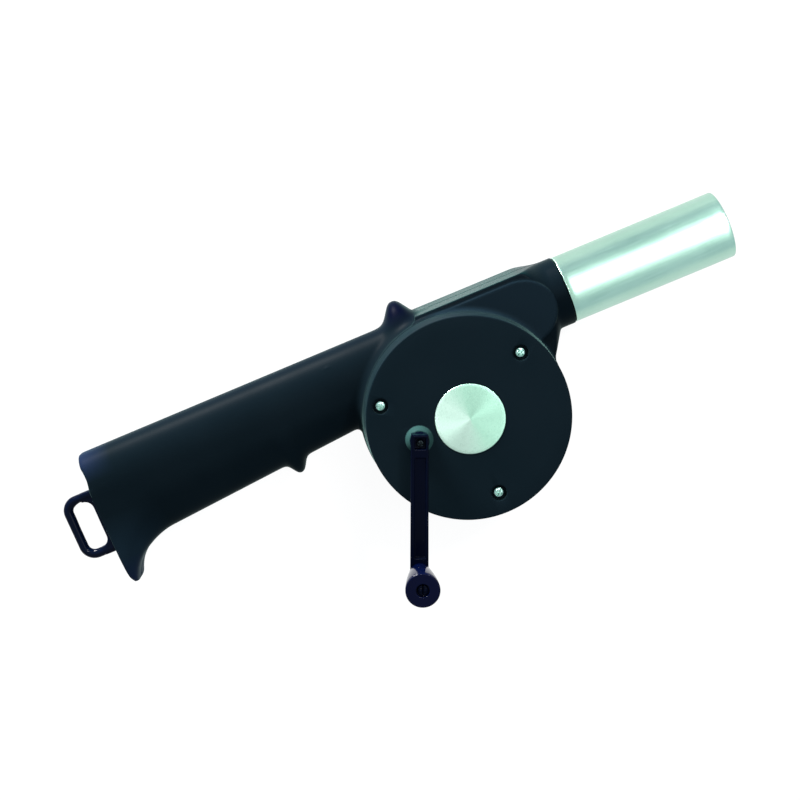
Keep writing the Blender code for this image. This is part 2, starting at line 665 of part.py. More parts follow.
def make_label():
    low = COVER_Z - LABEL_RECESS + GAP
    edge = 0.1 * MM
    profile = [(0.0, low + LABEL_THICKNESS), (LABEL_RADIUS - edge, low + LABEL_THICKNESS),
               (LABEL_RADIUS, low + LABEL_THICKNESS - edge), (LABEL_RADIUS, low), (0.0, low)]
    label = turned("label_disc", profile, 64, FOIL)
    label.location = (*LABEL_SHIFT, 0.0)
    return label


def screw_profile(length, head=SCREW_HEAD_RADIUS, height=SCREW_HEAD_HEIGHT, radius=SCREW_RADIUS):
    """Pan head screw with its seat at height zero, pointing down."""
    return [(0.0, height), (0.55 * head, 0.95 * height), (0.85 * head, 0.72 * height), (head, 0.3 * height),
            (head, 0.0), (radius, 0.0), (radius, 0.9 * radius - length), (0.0, -length)]


def make_screw(name, place, seat, length, upside_down=False):
    screw = turned(name, screw_profile(length), 16, ZINC_STEEL)
    arm, depth = 0.55 * SCREW_HEAD_RADIUS, 0.6 * SCREW_HEAD_HEIGHT
    half = 0.22 * SCREW_HEAD_RADIUS
    for letter, half_x, half_y in (("a", arm, half), ("b", half, arm)):
        recess = box(f"{name}_recess_{letter}", (-half_x, -half_y, SCREW_HEAD_HEIGHT - depth),
                     (half_x, half_y, 2 * SCREW_HEAD_HEIGHT))
        recess.parent = screw
        cut(screw, recess)
    screw.location = (place[0], place[1], seat)
    if upside_down:
        screw.rotation_euler = (math.radians(180), 0.0, 0.0)
    return screw


def make_screws():
    for number, place in enumerate(COVER_SCREWS, 1):
        make_screw(f"cover_screw_{number}", place, WELL_Z + GAP, COVER_SCREW_LENGTH)
    for number, place in enumerate(BODY_SCREWS, 1):
        make_screw(f"body_screw_{number}", place, BODY_SCREW_SEAT - GAP, BODY_SCREW_LENGTH, upside_down=True)


def make_nozzle():
    start = COLLAR_END_X + GAP
    inner = TUBE_RADIUS - TUBE_WALL
    profile = [(TUBE_RADIUS, TUBE_LENGTH), (TUBE_RADIUS, 0.0), (inner, 0.0), (inner, TUBE_LENGTH)]
    tube = turned("nozzle_tube", profile, 72, ALUMINIUM)
    tube.rotation_euler = (0.0, math.radians(90), 0.0)
    tube.location = (start, COLLAR_Y, PART_Z)
    return tube


def loop_path():
    """Middle line of the loop's wire: out along one leg, round the far bar and back."""
    far, near = LOOP_ROOT_X - LOOP_REACH, LOOP_ROOT_X
    points = [(near, LOOP_LOW_Y)]
    for y, side, start in ((LOOP_LOW_Y, 1, 270), (LOOP_HIGH_Y, -1, 180)):
        for k in range(6):
            angle = math.radians(start - 90 * k / 5)
            points.append((far + LOOP_CORNER + LOOP_CORNER * math.cos(angle),
                           y + side * LOOP_CORNER + LOOP_CORNER * math.sin(angle)))
    return points + [(near, LOOP_HIGH_Y)]


def loop_root():
    """Outline of the loop's root bar, with rounded inner corners at the legs."""
    edge = LOOP_WIRE - 0.2 * MM
    near, low, high = LOOP_ROOT_X + LOOP_WIRE, LOOP_LOW_Y, LOOP_HIGH_Y
    inner = LOOP_ROOT_X - LOOP_WIRE
    points = [(inner - LOOP_WEB, high + edge), (near, high + edge), (near, low - edge),
              (inner - LOOP_WEB, low - edge)]
    for y, side, start in ((low + edge, 1, 270), (high - edge, -1, 0)):
        for k in range(5):
            angle = math.radians(start + 90 * k / 4)
            points.append((inner - LOOP_WEB + LOOP_WEB * math.cos(angle),
                           y + side * LOOP_WEB + LOOP_WEB * math.sin(angle)))
    return points


def make_loop():
    curve = bpy.data.curves.new("loop_wire", "CURVE")
    curve.dimensions = "3D"
    curve.bevel_depth = LOOP_WIRE
    curve.bevel_resolution = 4
    curve.use_fill_caps = True
    spline = curve.splines.new("POLY")
    points = loop_path()
    spline.points.add(len(points) - 1)
    for point, (x, y) in zip(spline.points, points):
        point.co = (x, y, 0.0, 1.0)
    guide = bpy.data.objects.new("loop_curve", curve)
    bpy.context.scene.collection.objects.link(guide)
    guide.location = (0.0, 0.0, PART_Z)
    wire = curve_to_mesh(guide, "loop_wire", None)
    thickness = LOOP_WIRE - 0.3 * MM
    loop = plate("hanging_loop", loop_root(), PART_Z - thickness, PART_Z + thickness, GLOSS_NAVY)
    half, deep = TONGUE_WIDTH / 2, TONGUE_THICKNESS / 2
    inside = HANDLE_END_X + END_WALL + GAP
    tongue = box("loop_tongue", (LOOP_ROOT_X, -half, -deep), (inside + TONGUE_HEAD / 2, half, deep))
    wide = half + TONGUE_HEAD
    head = box("loop_head", (inside, -wide, -1.5 * deep), (inside + TONGUE_HEAD, wide, 1.5 * deep))
    for item in (tongue, head):
        item.location = (0.0, LOOP_MIDDLE_Y, PART_Z)
    join(loop, wire, tongue, head)
    shade(loop)
    return loop


def gear_outline(teeth, phase):
    """Spur gear with straight-flanked teeth; one tooth points along the phase angle."""
    pitch = MODULE * teeth / 2
    root, tip = pitch - TOOTH_DEDENDUM * MODULE, pitch + TOOTH_ADDENDUM * MODULE
    flank = math.tan(math.radians(20))
    points = []
    for tooth in range(teeth):
        middle = phase + 2 * math.pi * tooth / teeth
        for radius, side in ((root, -1), (tip, -1), (tip, 1), (root, 1)):
            half = TOOTH_HALF * math.pi * MODULE - (radius - pitch) * flank
            angle = middle + side * half / radius
            points.append((radius * math.cos(angle), radius * math.sin(angle)))
    return points


def bearing(start, end):
    return math.atan2(end.y - start.y, end.x - start.x)


def make_drive_gear():
    """Large gear on the crank's shaft, with a stub below and a square end above."""
    gear = plate("drive_gear", gear_outline(WHEEL_TEETH, bearing(CRANK, IDLER)), UPPER_GEAR_Z,
                 UPPER_GEAR_Z + GEAR_FACE, NATURAL_NYLON)
    square_low = BOSS_Z
    shaft = cylinder("drive_shaft", SHAFT_RADIUS, UPPER_GEAR_Z + GEAR_FACE / 2, square_low, segments=24)
    stub_low = CHAMBER_TOP_Z - SOCKET_DEPTH + WALL * 0.7 + GAP
    stub = cylinder("drive_stub", STUB_RADIUS, stub_low, UPPER_GEAR_Z + GEAR_FACE / 2, segments=20)
    half = SHAFT_SQUARE / 2
    square = box("drive_square", (-half, -half, square_low - WALL), (half, half, POCKET_Z - WALL / 2 - GAP))
    square.rotation_euler = (0.0, 0.0, CRANK_ANGLE)
    pilot = cylinder("drive_pilot", 0.75 * SCREW_RADIUS + GAP, square_low - 5.0 * MM, ARM_TOP_Z, segments=12)
    base = Vector((0.0, 0.0, UPPER_GEAR_Z + GEAR_FACE / 2))
    for item in (shaft, stub, square, pilot):
        item.parent = gear
        item.location = item.location - base
    join(gear, shaft, stub, square)
    cut(gear, pilot)
    gear.location = (CRANK.x, CRANK.y, base.z)
    shade(gear)
    return gear


def make_idler():
    """Pinion driven by the crank's gear, moulded on the gear that drives the fan."""
    wheel = plate("idler_gear", gear_outline(WHEEL_TEETH, bearing(IDLER, Vector())), LOWER_GEAR_Z,
                  LOWER_GEAR_Z + GEAR_FACE, NATURAL_NYLON)
    phase = bearing(IDLER, CRANK) + math.pi / PINION_TEETH
    pinion = plate("idler_pinion", gear_outline(PINION_TEETH, phase), LOWER_GEAR_Z + GEAR_FACE / 2,
                   UPPER_GEAR_Z + GEAR_FACE + 0.4 * GEAR_AIR)
    bore = cylinder("idler_gear_bore", AXLE_RADIUS + GAP, FACE_Z, COVER_Z, segments=20)
    base = wheel.location.copy()
    for item in (pinion, bore):
        item.location = item.location - base
        item.parent = wheel
    join(wheel, pinion)
    cut(wheel, bore)
    wheel.location = (IDLER.x, IDLER.y, base.z)
    shade(wheel)
    axle_low = CHAMBER_TOP_Z - SOCKET_DEPTH + WALL * 0.7 + GAP
    axle = cylinder("idler_axle", AXLE_RADIUS, axle_low, COVER_INNER_Z - GAP, IDLER, ZINC_STEEL, 20)
    shade(axle)
    return wheel


def make_fan():
    """Shaft, pinion and impeller that turn together on the fan axis."""
    shaft = cylinder("fan_shaft", AXLE_RADIUS, WALL + GAP, COVER_INNER_Z - GAP, (0.0, 0.0), ZINC_STEEL, 20)
    shade(shaft)
    phase = bearing(Vector(), IDLER) + math.pi / PINION_TEETH
    pinion = plate("fan_pinion", gear_outline(PINION_TEETH, phase), LOWER_GEAR_Z - 0.2 * MM,
                   LOWER_GEAR_Z + GEAR_FACE + 0.6 * GEAR_AIR, NATURAL_NYLON)
    pinion_bore = cylinder("fan_pinion_bore", AXLE_RADIUS + GAP, 0.0, COVER_Z, segments=20)
    cut(pinion, pinion_bore)
    impeller = plate("impeller", blade_outline(), IMPELLER_Z, IMPELLER_TOP_Z - IMPELLER_DISC / 2, FAN_GREY)
    disc = cylinder("impeller_disc", IMPELLER_RADIUS, IMPELLER_TOP_Z - IMPELLER_DISC, IMPELLER_TOP_Z,
                    segments=54)
    join(impeller, disc)
    cut(impeller, cylinder("impeller_bore", AXLE_RADIUS + GAP, 0.0, COVER_Z, segments=20))
    shade(impeller)
    shade(pinion)
    return impeller


def blade_outline():
    """Hub with swept blades, as one outline: out along one face of a blade and back along the other."""
    tip = IMPELLER_RADIUS - 0.5 * MM
    points = []
    for blade in range(BLADES):
        root = 2 * math.pi * blade / BLADES
        spread = BLADE_THICKNESS / 2
        for side in (-1, 1):
            row = []
            for k in range(5):
                radius = IMPELLER_HUB + (tip - IMPELLER_HUB) * k / 4
                angle = root - BLADE_SWEEP * (k / 4) ** 1.5 + side * spread / radius
                row.append((radius * math.cos(angle), radius * math.sin(angle)))
            points += row if side < 0 else row[::-1]
        for k in (1, 2, 3):
            angle = root + 2 * math.pi / BLADES * k / 4
            points.append((IMPELLER_HUB * math.cos(angle), IMPELLER_HUB * math.sin(angle)))
    return points


def make_bushes():
    inner = AXLE_RADIUS + GAP
    for name, low, high in (("rear_bush", WALL + GAP, WALL + BUSH_LENGTH - GAP),
                            ("front_bush", COVER_INNER_Z - BUSH_LENGTH + GAP, COVER_INNER_Z - GAP)):
        profile = [(BUSH_RADIUS, high), (BUSH_RADIUS, low), (inner, low), (inner, high)]
        turned(name, profile, 24, BRASS)


def arm_outline():
    """Straight arm along X: a square hub end, and a round end under the knob."""
    hub, far = ARM_HUB_WIDTH / 2, ARM_KNOB_WIDTH / 2
    chamfer = 0.6 * MM
    points = [(-ARM_OVERHANG + chamfer, hub), (-ARM_OVERHANG, hub - chamfer), (-ARM_OVERHANG, chamfer - hub),
              (-ARM_OVERHANG + chamfer, -hub)]
    points += [(CRANK_LENGTH + far * math.cos(math.radians(a)), far * math.sin(math.radians(a)))
               for a in range(-90, 91, 15)]
    return points


def make_crank():
    arm = plate("crank_arm", arm_outline(), ARM_Z, ARM_TOP_Z, GLOSS_NAVY)
    base = Vector((0.0, 0.0, (ARM_Z + ARM_TOP_Z) / 2))
    half = SHAFT_SQUARE / 2 + GAP
    pocket_half = ARM_HUB_WIDTH / 2 - ARM_RIB
    post_top = KNOB_TOP_Z - 0.9 * MM
    hub = cylinder("arm_hub", HUB_RADIUS, BOSS_Z + 2 * GAP, ARM_Z + WALL, segments=28)
    post = cylinder("knob_post", KNOB_POST_RADIUS, ARM_TOP_Z - WALL, post_top, (CRANK_LENGTH, 0.0), segments=20)
    prongs = cylinder("knob_prongs", KNOB_RECESS_RADIUS - GAP, KNOB_TOP_Z - KNOB_RECESS + GAP, post_top,
                      (CRANK_LENGTH, 0.0), segments=20, top_radius=KNOB_POST_RADIUS)
    slit = box("knob_slit", (CRANK_LENGTH - KNOB_RECESS_RADIUS, -PRONG_SLIT / 2, KNOB_TOP_Z - 4 * KNOB_RECESS),
               (CRANK_LENGTH + KNOB_RECESS_RADIUS, PRONG_SLIT / 2, KNOB_TOP_Z))
    socket = box("arm_socket", (-half, -half, BOSS_Z), (half, half, POCKET_Z - WALL / 2))
    pocket = box("arm_pocket", (-pocket_half, -pocket_half, POCKET_Z),
                 (pocket_half, pocket_half, ARM_TOP_Z + WALL))
    channel = box("arm_channel", (HUB_RADIUS + WALL, -pocket_half, ARM_TOP_Z - ARM_CHANNEL),
                  (CRANK_LENGTH - KNOB_BASE_RADIUS - WALL, pocket_half, ARM_TOP_Z + WALL))
    floor_hole = cylinder("arm_screw_way", 0.75 * SCREW_RADIUS + GAP, BOSS_Z, ARM_TOP_Z, segments=12)
    for item in (hub, post, prongs, slit, socket, pocket, channel, floor_hole):
        item.location = item.location - base
        item.parent = arm
    join(arm, hub, post, prongs)
    cut(arm, slit, socket, pocket, channel, floor_hole)
    arm.location = (CRANK.x, CRANK.y, base.z)
    arm.rotation_euler = (0.0, 0.0, CRANK_ANGLE)
    shade(arm)
    screw = turned("crank_screw", screw_profile(8.0 * MM, 1.6 * MM, 1.3 * MM, 0.75 * SCREW_RADIUS), 16,
                   ZINC_STEEL)
    screw.location = (CRANK.x, CRANK.y, POCKET_Z + GAP)
    return arm


def make_knob():
    """Flared knob with a bore for the post and a recess for its prongs."""
    bore = KNOB_POST_RADIUS + GAP
    top, edge = KNOB_TOP_Z, 0.7 * MM
    flare = []
    for k in range(7):
        share = k / 6
        radius = KNOB_FRONT_RADIUS + (KNOB_BASE_RADIUS - KNOB_FRONT_RADIUS) * share ** 1.5
        flare.append((radius, top - edge - (KNOB_LENGTH - 1.5 * edge) * share))
    profile = [(KNOB_RECESS_RADIUS, top), (KNOB_FRONT_RADIUS - edge, top),
               (KNOB_FRONT_RADIUS - 0.3 * edge, top - 0.3 * edge), *flare,
               (KNOB_BASE_RADIUS - 0.5 * edge, KNOB_Z), (bore, KNOB_Z), (bore, top - KNOB_RECESS),
               (KNOB_RECESS_RADIUS, top - KNOB_RECESS)]
    knob = turned("crank_knob", profile, 32, GLOSS_NAVY)
    knob.location = CRANK + CRANK_LENGTH * Vector((math.cos(CRANK_ANGLE), math.sin(CRANK_ANGLE), 0.0))
    return knob


def make_blower():
    outer, hollow = body_outer(), body_hollow()
    make_front_shell(outer, hollow)
    make_rear_shell(outer, hollow)
    make_gear_cover()
    make_label()
    make_screws()
    make_nozzle()
    make_loop()
    make_drive_gear()
    make_idler()
    make_fan()
    make_bushes()
    make_crank()
    make_knob()


make_blower()
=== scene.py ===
import math

import bmesh
import bpy
import numpy as np
from mathutils import Matrix, Vector


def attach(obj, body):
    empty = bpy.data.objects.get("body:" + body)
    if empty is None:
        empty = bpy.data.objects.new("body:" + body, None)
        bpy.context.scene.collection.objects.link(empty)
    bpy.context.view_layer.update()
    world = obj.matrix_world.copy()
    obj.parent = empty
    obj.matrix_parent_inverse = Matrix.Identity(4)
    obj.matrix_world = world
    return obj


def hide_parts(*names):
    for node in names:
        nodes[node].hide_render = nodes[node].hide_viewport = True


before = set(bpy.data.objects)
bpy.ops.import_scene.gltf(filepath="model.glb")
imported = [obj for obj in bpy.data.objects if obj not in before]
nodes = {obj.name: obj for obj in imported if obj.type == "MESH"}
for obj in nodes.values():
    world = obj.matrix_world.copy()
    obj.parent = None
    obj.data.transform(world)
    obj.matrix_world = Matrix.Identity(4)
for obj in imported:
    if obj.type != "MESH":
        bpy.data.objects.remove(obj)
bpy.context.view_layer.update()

# Lengths are in millimetres until a mesh is made, then in metres.
mm = 0.001
creaseAngle = 35    # degrees, above which an edge of a turned or carved piece stays sharp
partingZ = 18.0     # where the two halves of the housing meet
faceZ = 34.0        # front face of the duct
seamZ = 36.5        # under the gear cover
coverZ = 50.6       # front face of the gear cover
crankPlace = (-22.7, 0.0)
idlerPlace = (-11.35, -14.947)
screwShift, screwCircle, screwAngles = (-1.5, 1.4), 35.7, (27, 150, 272)
coverScrews = [(screwShift[0] + screwCircle * math.cos(math.radians(a)),
                screwShift[1] + screwCircle * math.sin(math.radians(a))) for a in screwAngles]
bodyScrews = ((-147.0, 23.35), (-99.3, 26.6), (-48.2, 37.7), (43.5, 16.5))


# numpy helpers
def ease(t):
    # smooth step from 0 to 1
    t = np.clip(t, 0.0, 1.0)
    return t * t * (3 - 2 * t)


def hump(x, centre, half, power):
    # 1 at the centre, falling off as exp(-|distance / half| ^ power)
    return np.exp(-np.abs((x - centre) / half) ** power)


def roundUnion(a, b, r):
    # union of two distance fields with a fillet of radius r in the corner between them
    return np.maximum(r, np.minimum(a, b)) - np.hypot(np.maximum(r - a, 0), np.maximum(r - b, 0))


def roundCut(a, b, r):
    # common part of two distance fields with its edge rounded to radius r
    return np.minimum(-r, np.maximum(a, b)) + np.hypot(np.maximum(r + a, 0), np.maximum(r + b, 0))


def boxField(x, y, z, low, high, r=0.0):
    # distance to a box between two corners, with edges of radius r
    away = [np.abs(p - (a + b) / 2) - (b - a) / 2 + r for p, a, b in zip((x, y, z), low, high)]
    outside = np.sqrt(sum(np.maximum(q, 0) ** 2 for q in away))
    return outside + np.minimum(np.maximum(np.maximum(away[0], away[1]), away[2]), 0) - r


def post(x, y, z, place, radius, low, high):
    # upright cylinder between two levels
    side = np.hypot(x - place[0], y - place[1]) - radius
    return np.maximum(side, np.maximum(low - z, z - high))


def levels(*spans):
    # places along an axis from (start, end, step) spans
    row = [np.linspace(a, b, max(int(round((b - a) / s)), 1), endpoint=False) for a, b, s in spans]
    return np.append(np.concatenate(row), spans[-1][1]).astype(np.float32)


def evened(field, xs, ys, zs):
    # turns an implicit function into a distance near its surface: its value over the length of its gradient
    gx, gy, gz = np.gradient(field, xs, ys, zs)
    return field / np.maximum(np.sqrt(gx * gx + gy * gy + gz * gz), 1e-3)


def surfaceNet(field, xs, ys, zs):
    # one vertex in every cell that the surface crosses, at the mean of its edge crossings, and one quad round every
    # crossed edge
    axes = (xs.astype(np.float64), ys.astype(np.float64), zs.astype(np.float64))
    shape = np.array(field.shape)
    inside = field < 0
    cellShape = shape - 1
    places, rings, flips = [], [], []
    for axis in range(3):
        b, c = (axis + 1) % 3, (axis + 2) % 3
        low = [slice(None)] * 3
        high = [slice(None)] * 3
        low[axis], high[axis] = slice(0, -1), slice(1, None)
        crossed = np.argwhere(inside[tuple(low)] != inside[tuple(high)])
        crossed = crossed[(crossed[:, b] > 0) & (crossed[:, b] < shape[b] - 1)
                          & (crossed[:, c] > 0) & (crossed[:, c] < shape[c] - 1)]
        after = crossed.copy()
        after[:, axis] += 1
        f0 = field[tuple(crossed.T)].astype(np.float64)
        f1 = field[tuple(after.T)].astype(np.float64)
        place = np.stack([axes[k][crossed[:, k]] for k in range(3)], 1)
        place[:, axis] += f0 / (f0 - f1) * (axes[axis][after[:, axis]] - axes[axis][crossed[:, axis]])
        ring = []
        for db, dc in ((-1, -1), (0, -1), (0, 0), (-1, 0)):
            cell = crossed.copy()
            cell[:, b] += db
            cell[:, c] += dc
            ring.append((cell[:, 0] * cellShape[1] + cell[:, 1]) * cellShape[2] + cell[:, 2])
        rings.append(np.stack(ring, 1))
        flips.append(f0 > 0)
        places.append(np.repeat(place, 4, axis=0))
    unique, index = np.unique(np.concatenate([ring.ravel() for ring in rings]), return_inverse=True)
    places = np.concatenate(places)
    count = np.bincount(index)
    verts = np.stack([np.bincount(index, places[:, k]) / count for k in range(3)], 1)
    quads = index.reshape(-1, 4)
    flip = np.concatenate(flips)
    quads[flip] = quads[flip][:, ::-1]
    return verts, quads


def turnedGrid(profile, steps, centre=(0.0, 0.0)):
    # profile of (radius, height) points carried round an upright axis
    profile = np.asarray(profile, float)
    angle = 2 * np.pi * np.arange(steps) / steps
    verts = np.stack([centre[0] + profile[:, :1] * np.cos(angle), centre[1] + profile[:, :1] * np.sin(angle),
                      np.repeat(profile[:, 1:2], steps, axis=1)], -1).reshape(-1, 3)
    row = np.arange(len(profile) - 1)[:, None] * steps
    k = np.arange(steps)[None, :]
    after = (k + 1) % steps
    quads = np.stack([row + k, row + steps + k, row + steps + after, row + after], -1).reshape(-1, 4)
    return verts, quads


def corner(centre, radius, start, end, count=6):
    # points of a rounded corner in a profile, between two angles in degrees
    a = np.radians(np.linspace(start, end, count))
    return [(centre[0] + radius * math.cos(t), centre[1] + radius * math.sin(t)) for t in a]


# mesh helpers
def makeMesh(name, verts, quads):
    # object at the origin from vertices in millimetres and rows of four corners
    mesh = bpy.data.meshes.new(name)
    quads = np.asarray(quads, np.int32)
    mesh.vertices.add(len(verts))
    mesh.vertices.foreach_set("co", (np.asarray(verts, np.float64) * mm).astype(np.float32).ravel())
    mesh.loops.add(quads.size)
    mesh.loops.foreach_set("vertex_index", quads.ravel())
    mesh.polygons.add(len(quads))
    mesh.polygons.foreach_set("loop_start", np.arange(0, quads.size, 4, dtype=np.int32))
    mesh.polygons.foreach_set("use_smooth", np.ones(len(quads), bool))
    mesh.update(calc_edges=True)
    piece = bpy.data.objects.new(name, mesh)
    bpy.context.scene.collection.objects.link(piece)
    return piece


def closeUp(piece, sharpAngle):
    # merges poles and seams, turns the faces outwards and keeps edges over an angle in degrees sharp
    build = bmesh.new()
    build.from_mesh(piece.data)
    bmesh.ops.remove_doubles(build, verts=build.verts, dist=2e-7)
    bmesh.ops.dissolve_degenerate(build, edges=build.edges, dist=1e-8)
    bmesh.ops.recalc_face_normals(build, faces=build.faces)
    build.to_mesh(piece.data)
    build.free()
    piece.data.set_sharp_from_angle(angle=math.radians(sharpAngle))
    return piece


def turnedPiece(name, profile, steps, centre=(0.0, 0.0), closed=False):
    # profile of (radius, height) points turned round an upright axis, as a piece
    points = list(profile) + ([profile[0]] if closed else [])
    return closeUp(makeMesh(name, *turnedGrid(points, steps, centre)), creaseAngle)


def carve(piece, cutters, additions=()):
    # joins and cuts with exact booleans, then keeps the result as the piece's own mesh
    for other, operation in [(a, "UNION") for a in additions] + [(c, "DIFFERENCE") for c in cutters]:
        step = piece.modifiers.new(other.name, "BOOLEAN")
        step.object, step.operation, step.solver = other, operation, "EXACT"
    bpy.context.view_layer.update()
    evaluated = piece.evaluated_get(bpy.context.evaluated_depsgraph_get())
    mesh = bpy.data.meshes.new_from_object(evaluated)
    piece.modifiers.clear()
    piece.data = mesh
    for other in (*cutters, *additions):
        bpy.data.objects.remove(other, do_unlink=True)
    mesh.polygons.foreach_set("use_smooth", np.ones(len(mesh.polygons), bool))
    mesh.set_sharp_from_angle(angle=math.radians(creaseAngle))
    return piece


def finishPiece(piece, body, cadNode, material):
    # gives the piece its material, the body that it moves with and the node that it stands for
    piece.data.materials.clear()
    piece.data.materials.append(material)
    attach(piece, body)
    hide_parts(cadNode)
    print("made", piece.name, len(piece.data.polygons), "faces")
    return piece


# finishes
def setInputs(tree, node, given):
    # sets a node's inputs to values, or links them to sockets
    for name, value in given.items():
        if isinstance(value, bpy.types.NodeSocket):
            tree.links.new(value, node.inputs[name])
        else:
            node.inputs[name].default_value = value
    return node


def newNode(tree, kind, **given):
    return setInputs(tree, tree.nodes.new("ShaderNode" + kind), given)


def calc(tree, operation, *values):
    # one Math node on values or sockets
    node = newNode(tree, "Math")
    node.operation = operation
    return setInputs(tree, node, dict(enumerate(values))).outputs[0]


def noise(tree, scale, detail=2.0, vector=None, stretch=None, rough=0.5):
    # noise on object coordinates, which may be stretched
    if vector is None:
        vector = newNode(tree, "TexCoord").outputs["Object"]
    if stretch:
        vector = newNode(tree, "Mapping", Scale=stretch, Vector=vector).outputs["Vector"]
    return newNode(tree, "TexNoise", Scale=scale, Detail=detail, Roughness=rough, Vector=vector).outputs["Fac"]


def remap(tree, value, low, high, toLow=0.0, toHigh=1.0):
    # value from one range to another, held at the ends
    given = dict(enumerate((value, low, high, toLow, toHigh)))
    return setInputs(tree, newNode(tree, "MapRange"), given).outputs[0]


def blendColour(tree, mask, first, second):
    # mix of two colours, each a tuple or a socket
    node = newNode(tree, "Mix")
    node.data_type = "RGBA"
    first, second = [(*colour, 1) if isinstance(colour, tuple) else colour for colour in (first, second)]
    return setInputs(tree, node, {"Factor": mask, 6: first, 7: second}).outputs[2]


def newGroup(name, inputs, outputs):
    tree = bpy.data.node_groups.new(name, "ShaderNodeTree")
    for label in inputs:
        tree.interface.new_socket(name=label, in_out="INPUT", socket_type="NodeSocketFloat")
    for label in outputs:
        tree.interface.new_socket(name=label, in_out="OUTPUT", socket_type="NodeSocketFloat")
    return tree, tree.nodes.new("NodeGroupInput").outputs, tree.nodes.new("NodeGroupOutput").inputs


def placeGroup(tree, group, **values):
    node = newNode(tree, "Group")
    node.node_tree = group
    return setInputs(tree, node, values).outputs


def objectPlace(tree, centre=None):
    # object coordinates split in three, in metres, measured from a centre given in millimetres
    vector = newNode(tree, "TexCoord").outputs["Object"]
    if centre:
        shift = (-centre[0] * mm, -centre[1] * mm, 0)
        vector = newNode(tree, "Mapping", Location=shift, Vector=vector).outputs["Vector"]
    return newNode(tree, "SeparateXYZ", Vector=vector).outputs


def fromAxis(tree, spot):
    # distance from the upright axis: the root of x squared plus y squared
    squares = [calc(tree, "MULTIPLY", spot[axis], spot[axis]) for axis in ("X", "Y")]
    return calc(tree, "SQRT", calc(tree, "ADD", *squares))


def zone(tree, spot, spans):
    # mask from 0 to 1: the product of ramps, each along an axis from a start to an end in millimetres
    mask = None
    for axis, start, end in spans:
        ramp = remap(tree, spot[axis], start * mm, end * mm)
        mask = ramp if mask is None else calc(tree, "MULTIPLY", mask, ramp)
    return mask


def buildGrainGroup():
    # fine spark texture of a mould: small soft cells over a slower ripple, in metres of height
    tree, given, out = newGroup("mouldGrain", ["Depth", "Ripple"], ["Height"])
    fine, slow = noise(tree, 2600.0, 3.0), noise(tree, 160.0)
    grain = calc(tree, "MULTIPLY", calc(tree, "SUBTRACT", fine, 0.5), given["Depth"])
    ripple = calc(tree, "MULTIPLY", calc(tree, "SUBTRACT", slow, 0.5), given["Ripple"])
    tree.links.new(calc(tree, "ADD", grain, ripple), out["Height"])
    return tree


def buildHandlingGroup():
    # uneven polish from hands: broad soft patches with fine short scuffs in them, from 0 to 1
    tree, given, out = newGroup("handling", ["Scuffs"], ["Polish"])
    broad = remap(tree, noise(tree, 22.0, 4.0), 0.3, 0.7)
    scuff = remap(tree, noise(tree, 300.0, 4.0, stretch=(0.25, 1.0, 1.0), rough=0.7), 0.55, 0.8)
    tree.links.new(calc(tree, "ADD", broad, calc(tree, "MULTIPLY", scuff, given["Scuffs"])), out["Polish"])
    return tree


grainGroup = buildGrainGroup()
handlingGroup = buildHandlingGroup()


def newFinish(name, roughness, metallic=0.0, ior=1.5):
    material = bpy.data.materials.new(name)
    material.use_nodes = True
    tree = material.node_tree
    shader = tree.nodes["Principled BSDF"]
    setInputs(tree, shader, {"Roughness": roughness, "Metallic": metallic, "IOR": ior})
    return material, tree, shader


def addBump(tree, shader, height, distance):
    bump = newNode(tree, "Bump", Strength=1.0, Distance=distance, Height=height)
    setInputs(tree, shader, {"Normal": bump.outputs["Normal"]})


def mouldedPlastic(name, first, second, roughness, spread, grain, ripple, ior=1.46):
    # two close shades in soft patches, roughness that follows the polish, and mould grain
    material, tree, shader = newFinish(name, roughness, ior=ior)
    polish = placeGroup(tree, handlingGroup, Scuffs=0.3)["Polish"]
    setInputs(tree, shader, {
        "Base Color": blendColour(tree, polish, first, second),
        "Roughness": remap(tree, polish, 0.0, 1.0, roughness + spread, roughness - spread)})
    addBump(tree, shader, placeGroup(tree, grainGroup, Depth=grain, Ripple=ripple)["Height"], 0.0001)
    return material


def drawnMetal(name, first, second, roughness, spread, scale, depth, stretch=None):
    # metal with fine lines: noise stretched along the drawing direction, in colour, roughness and height
    material, tree, shader = newFinish(name, roughness, metallic=1.0)
    lines = noise(tree, scale, 4.0, stretch=stretch, rough=0.65)
    cloud = noise(tree, 45.0, 3.0)
    mask = calc(tree, "ADD", calc(tree, "MULTIPLY", lines, 0.6), calc(tree, "MULTIPLY", cloud, 0.4))
    setInputs(tree, shader, {
        "Base Color": blendColour(tree, remap(tree, mask, 0.35, 0.65), first, second),
        "Roughness": remap(tree, mask, 0.3, 0.7, roughness - spread, roughness + spread)})
    addBump(tree, shader, lines, depth)
    return material


def brushedRound(tree, shader, axis, amount):
    # fine lines run round an axis, so light spreads across them
    tangent = newNode(tree, "Tangent")
    tangent.direction_type, tangent.axis = "RADIAL", axis
    setInputs(tree, shader, {"Anisotropic": amount, "Tangent": tangent.outputs["Tangent"]})


